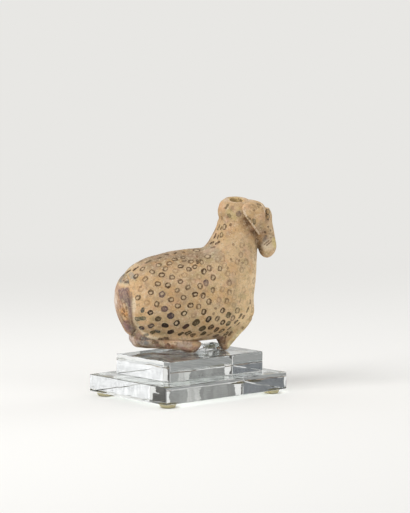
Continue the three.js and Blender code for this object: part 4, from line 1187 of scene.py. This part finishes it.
# Far from the object the floor fades into the backdrop, so that no horizon shows
far_off = vector_sum(tree, "LENGTH", tree.nodes.new("ShaderNodeTexCoord").outputs["Object"])
backdrop = tree.nodes.new("ShaderNodeEmission")
backdrop.inputs["Color"].default_value = BACKDROP
faded = tree.nodes.new("ShaderNodeMixShader")
feed(tree, faded.inputs[0], sum_of(tree, "MULTIPLY", eased(tree, far_off, 0.12, 0.75), looked_at(tree)))
tree.links.new(surface.outputs[0], faded.inputs[1])
tree.links.new(backdrop.outputs[0], faded.inputs[2])
output = next(node for node in tree.nodes if node.type == "OUTPUT_MATERIAL")
tree.links.new(faded.outputs[0], output.inputs["Surface"])

world = bpy.data.worlds.new("studio")
scene.world = world
world.use_nodes = True
tree = world.node_tree
tree.nodes.clear()
glow = tree.nodes.new("ShaderNodeBackground")
glow.inputs["Color"].default_value = (1, 1, 1, 1)
glow.inputs["Strength"].default_value = 0.44
seen = tree.nodes.new("ShaderNodeBackground")
seen.inputs["Color"].default_value = BACKDROP
both = tree.nodes.new("ShaderNodeMixShader")
tree.links.new(looked_at(tree), both.inputs[0])
tree.links.new(glow.outputs[0], both.inputs[1])
tree.links.new(seen.outputs[0], both.inputs[2])
sky = tree.nodes.new("ShaderNodeOutputWorld")
tree.links.new(both.outputs[0], sky.inputs["Surface"])

centre = (cad_box[0] + cad_box[1]) / 2


def softbox(name, place, size, watts, mirrored=True):
    light = bpy.data.lights.new(name, "AREA")
    light.size = size
    light.energy = watts
    lamp = bpy.data.objects.new(name, light)
    scene.collection.objects.link(lamp)
    lamp.location = place
    lamp.rotation_euler = (centre - Vector(place)).to_track_quat("-Z", "Y").to_euler()
    lamp.visible_glossy = lamp.visible_transmission = mirrored


softbox("key", (-0.75, 0.05, 0.75), 0.55, 6.0)
softbox("fill", (0.35, -0.95, 0.45), 0.7, 1.8)
softbox("edge", (0.95, -0.05, 0.35), 0.4, 2.0, mirrored=False)
softbox("top", (0.1, 0.3, 1.0), 0.8, 2.8)



def card(name, bearing, distance, width, height, shade, lean=0):
    """A card out of the picture that shows only in and through the clear plates, upright or leaning in."""
    mesh = bpy.data.meshes.new(name)
    half = width / 2
    corners = [(0, -half, 0), (0, half, 0), (0, half, height), (0, -half, height)]
    mesh.from_pydata(corners, [], [(0, 1, 2, 3)])
    paint = bpy.data.materials.new(name)
    paint.use_nodes = True
    tree = paint.node_tree
    tree.nodes.clear()
    lit = tree.nodes.new("ShaderNodeEmission")
    ahead = vector_sum(tree, "MULTIPLY", tree.nodes.new("ShaderNodeTexCoord").outputs["Object"], (1, 1, 0.1))
    streak = mottle(tree, 3 * MM, 0.35, 0.65, place=ahead, seed=bearing)
    feed(tree, lit.inputs["Color"], tinted(tree, [0.75 * s for s in shade], [1.2 * s for s in shade], streak))
    tree.links.new(lit.outputs[0], tree.nodes.new("ShaderNodeOutputMaterial").inputs["Surface"])
    mesh.materials.append(paint)
    board = bpy.data.objects.new(name, mesh)
    scene.collection.objects.link(board)
    turn = math.radians(bearing)
    board.location = (distance * math.cos(turn), distance * math.sin(turn), table + 0.3 * MM)
    board.rotation_euler = (0, -math.radians(lean), turn)
    board.visible_camera = False
    board.visible_diffuse = False
    board.visible_shadow = False


card("slate_card", 117.5, 0.134, 0.031, 0.1, linear(108, 112, 116))
card("grey_mat", 90, 0.12, 0.19, 0.092, linear(142, 143, 141), lean=90)
card("white_card", -49, 0.3, 0.3, 0.2, linear(255, 255, 255))
card("grey_card", 53.6, 0.132, 0.0356, 0.1, linear(138, 139, 136))
card("black_strip", 42.2, 0.13, 0.0093, 0.1, linear(66, 64, 60))
card("pale_strip", 56, 0.128, 0.007, 0.1, linear(190, 190, 186))

camera = bpy.data.objects.new("camera", bpy.data.cameras.new("camera"))
scene.collection.objects.link(camera)
lower_low, lower_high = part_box("lower_plate")
stand_middle = Vector(((lower_low.x + lower_high.x) / 2, (lower_low.y + lower_high.y) / 2, lower_low.z))
camera.location = stand_middle + Vector((-0.7768, -0.9013, 0.1888))
picture_middle = stand_middle + Vector((0.00896, -0.00247, 0.06754))
camera.rotation_euler = (picture_middle - camera.location).to_track_quat("-Z", "Y").to_euler()
camera.data.lens = 166.6
camera.data.clip_end = 20
scene.camera = camera
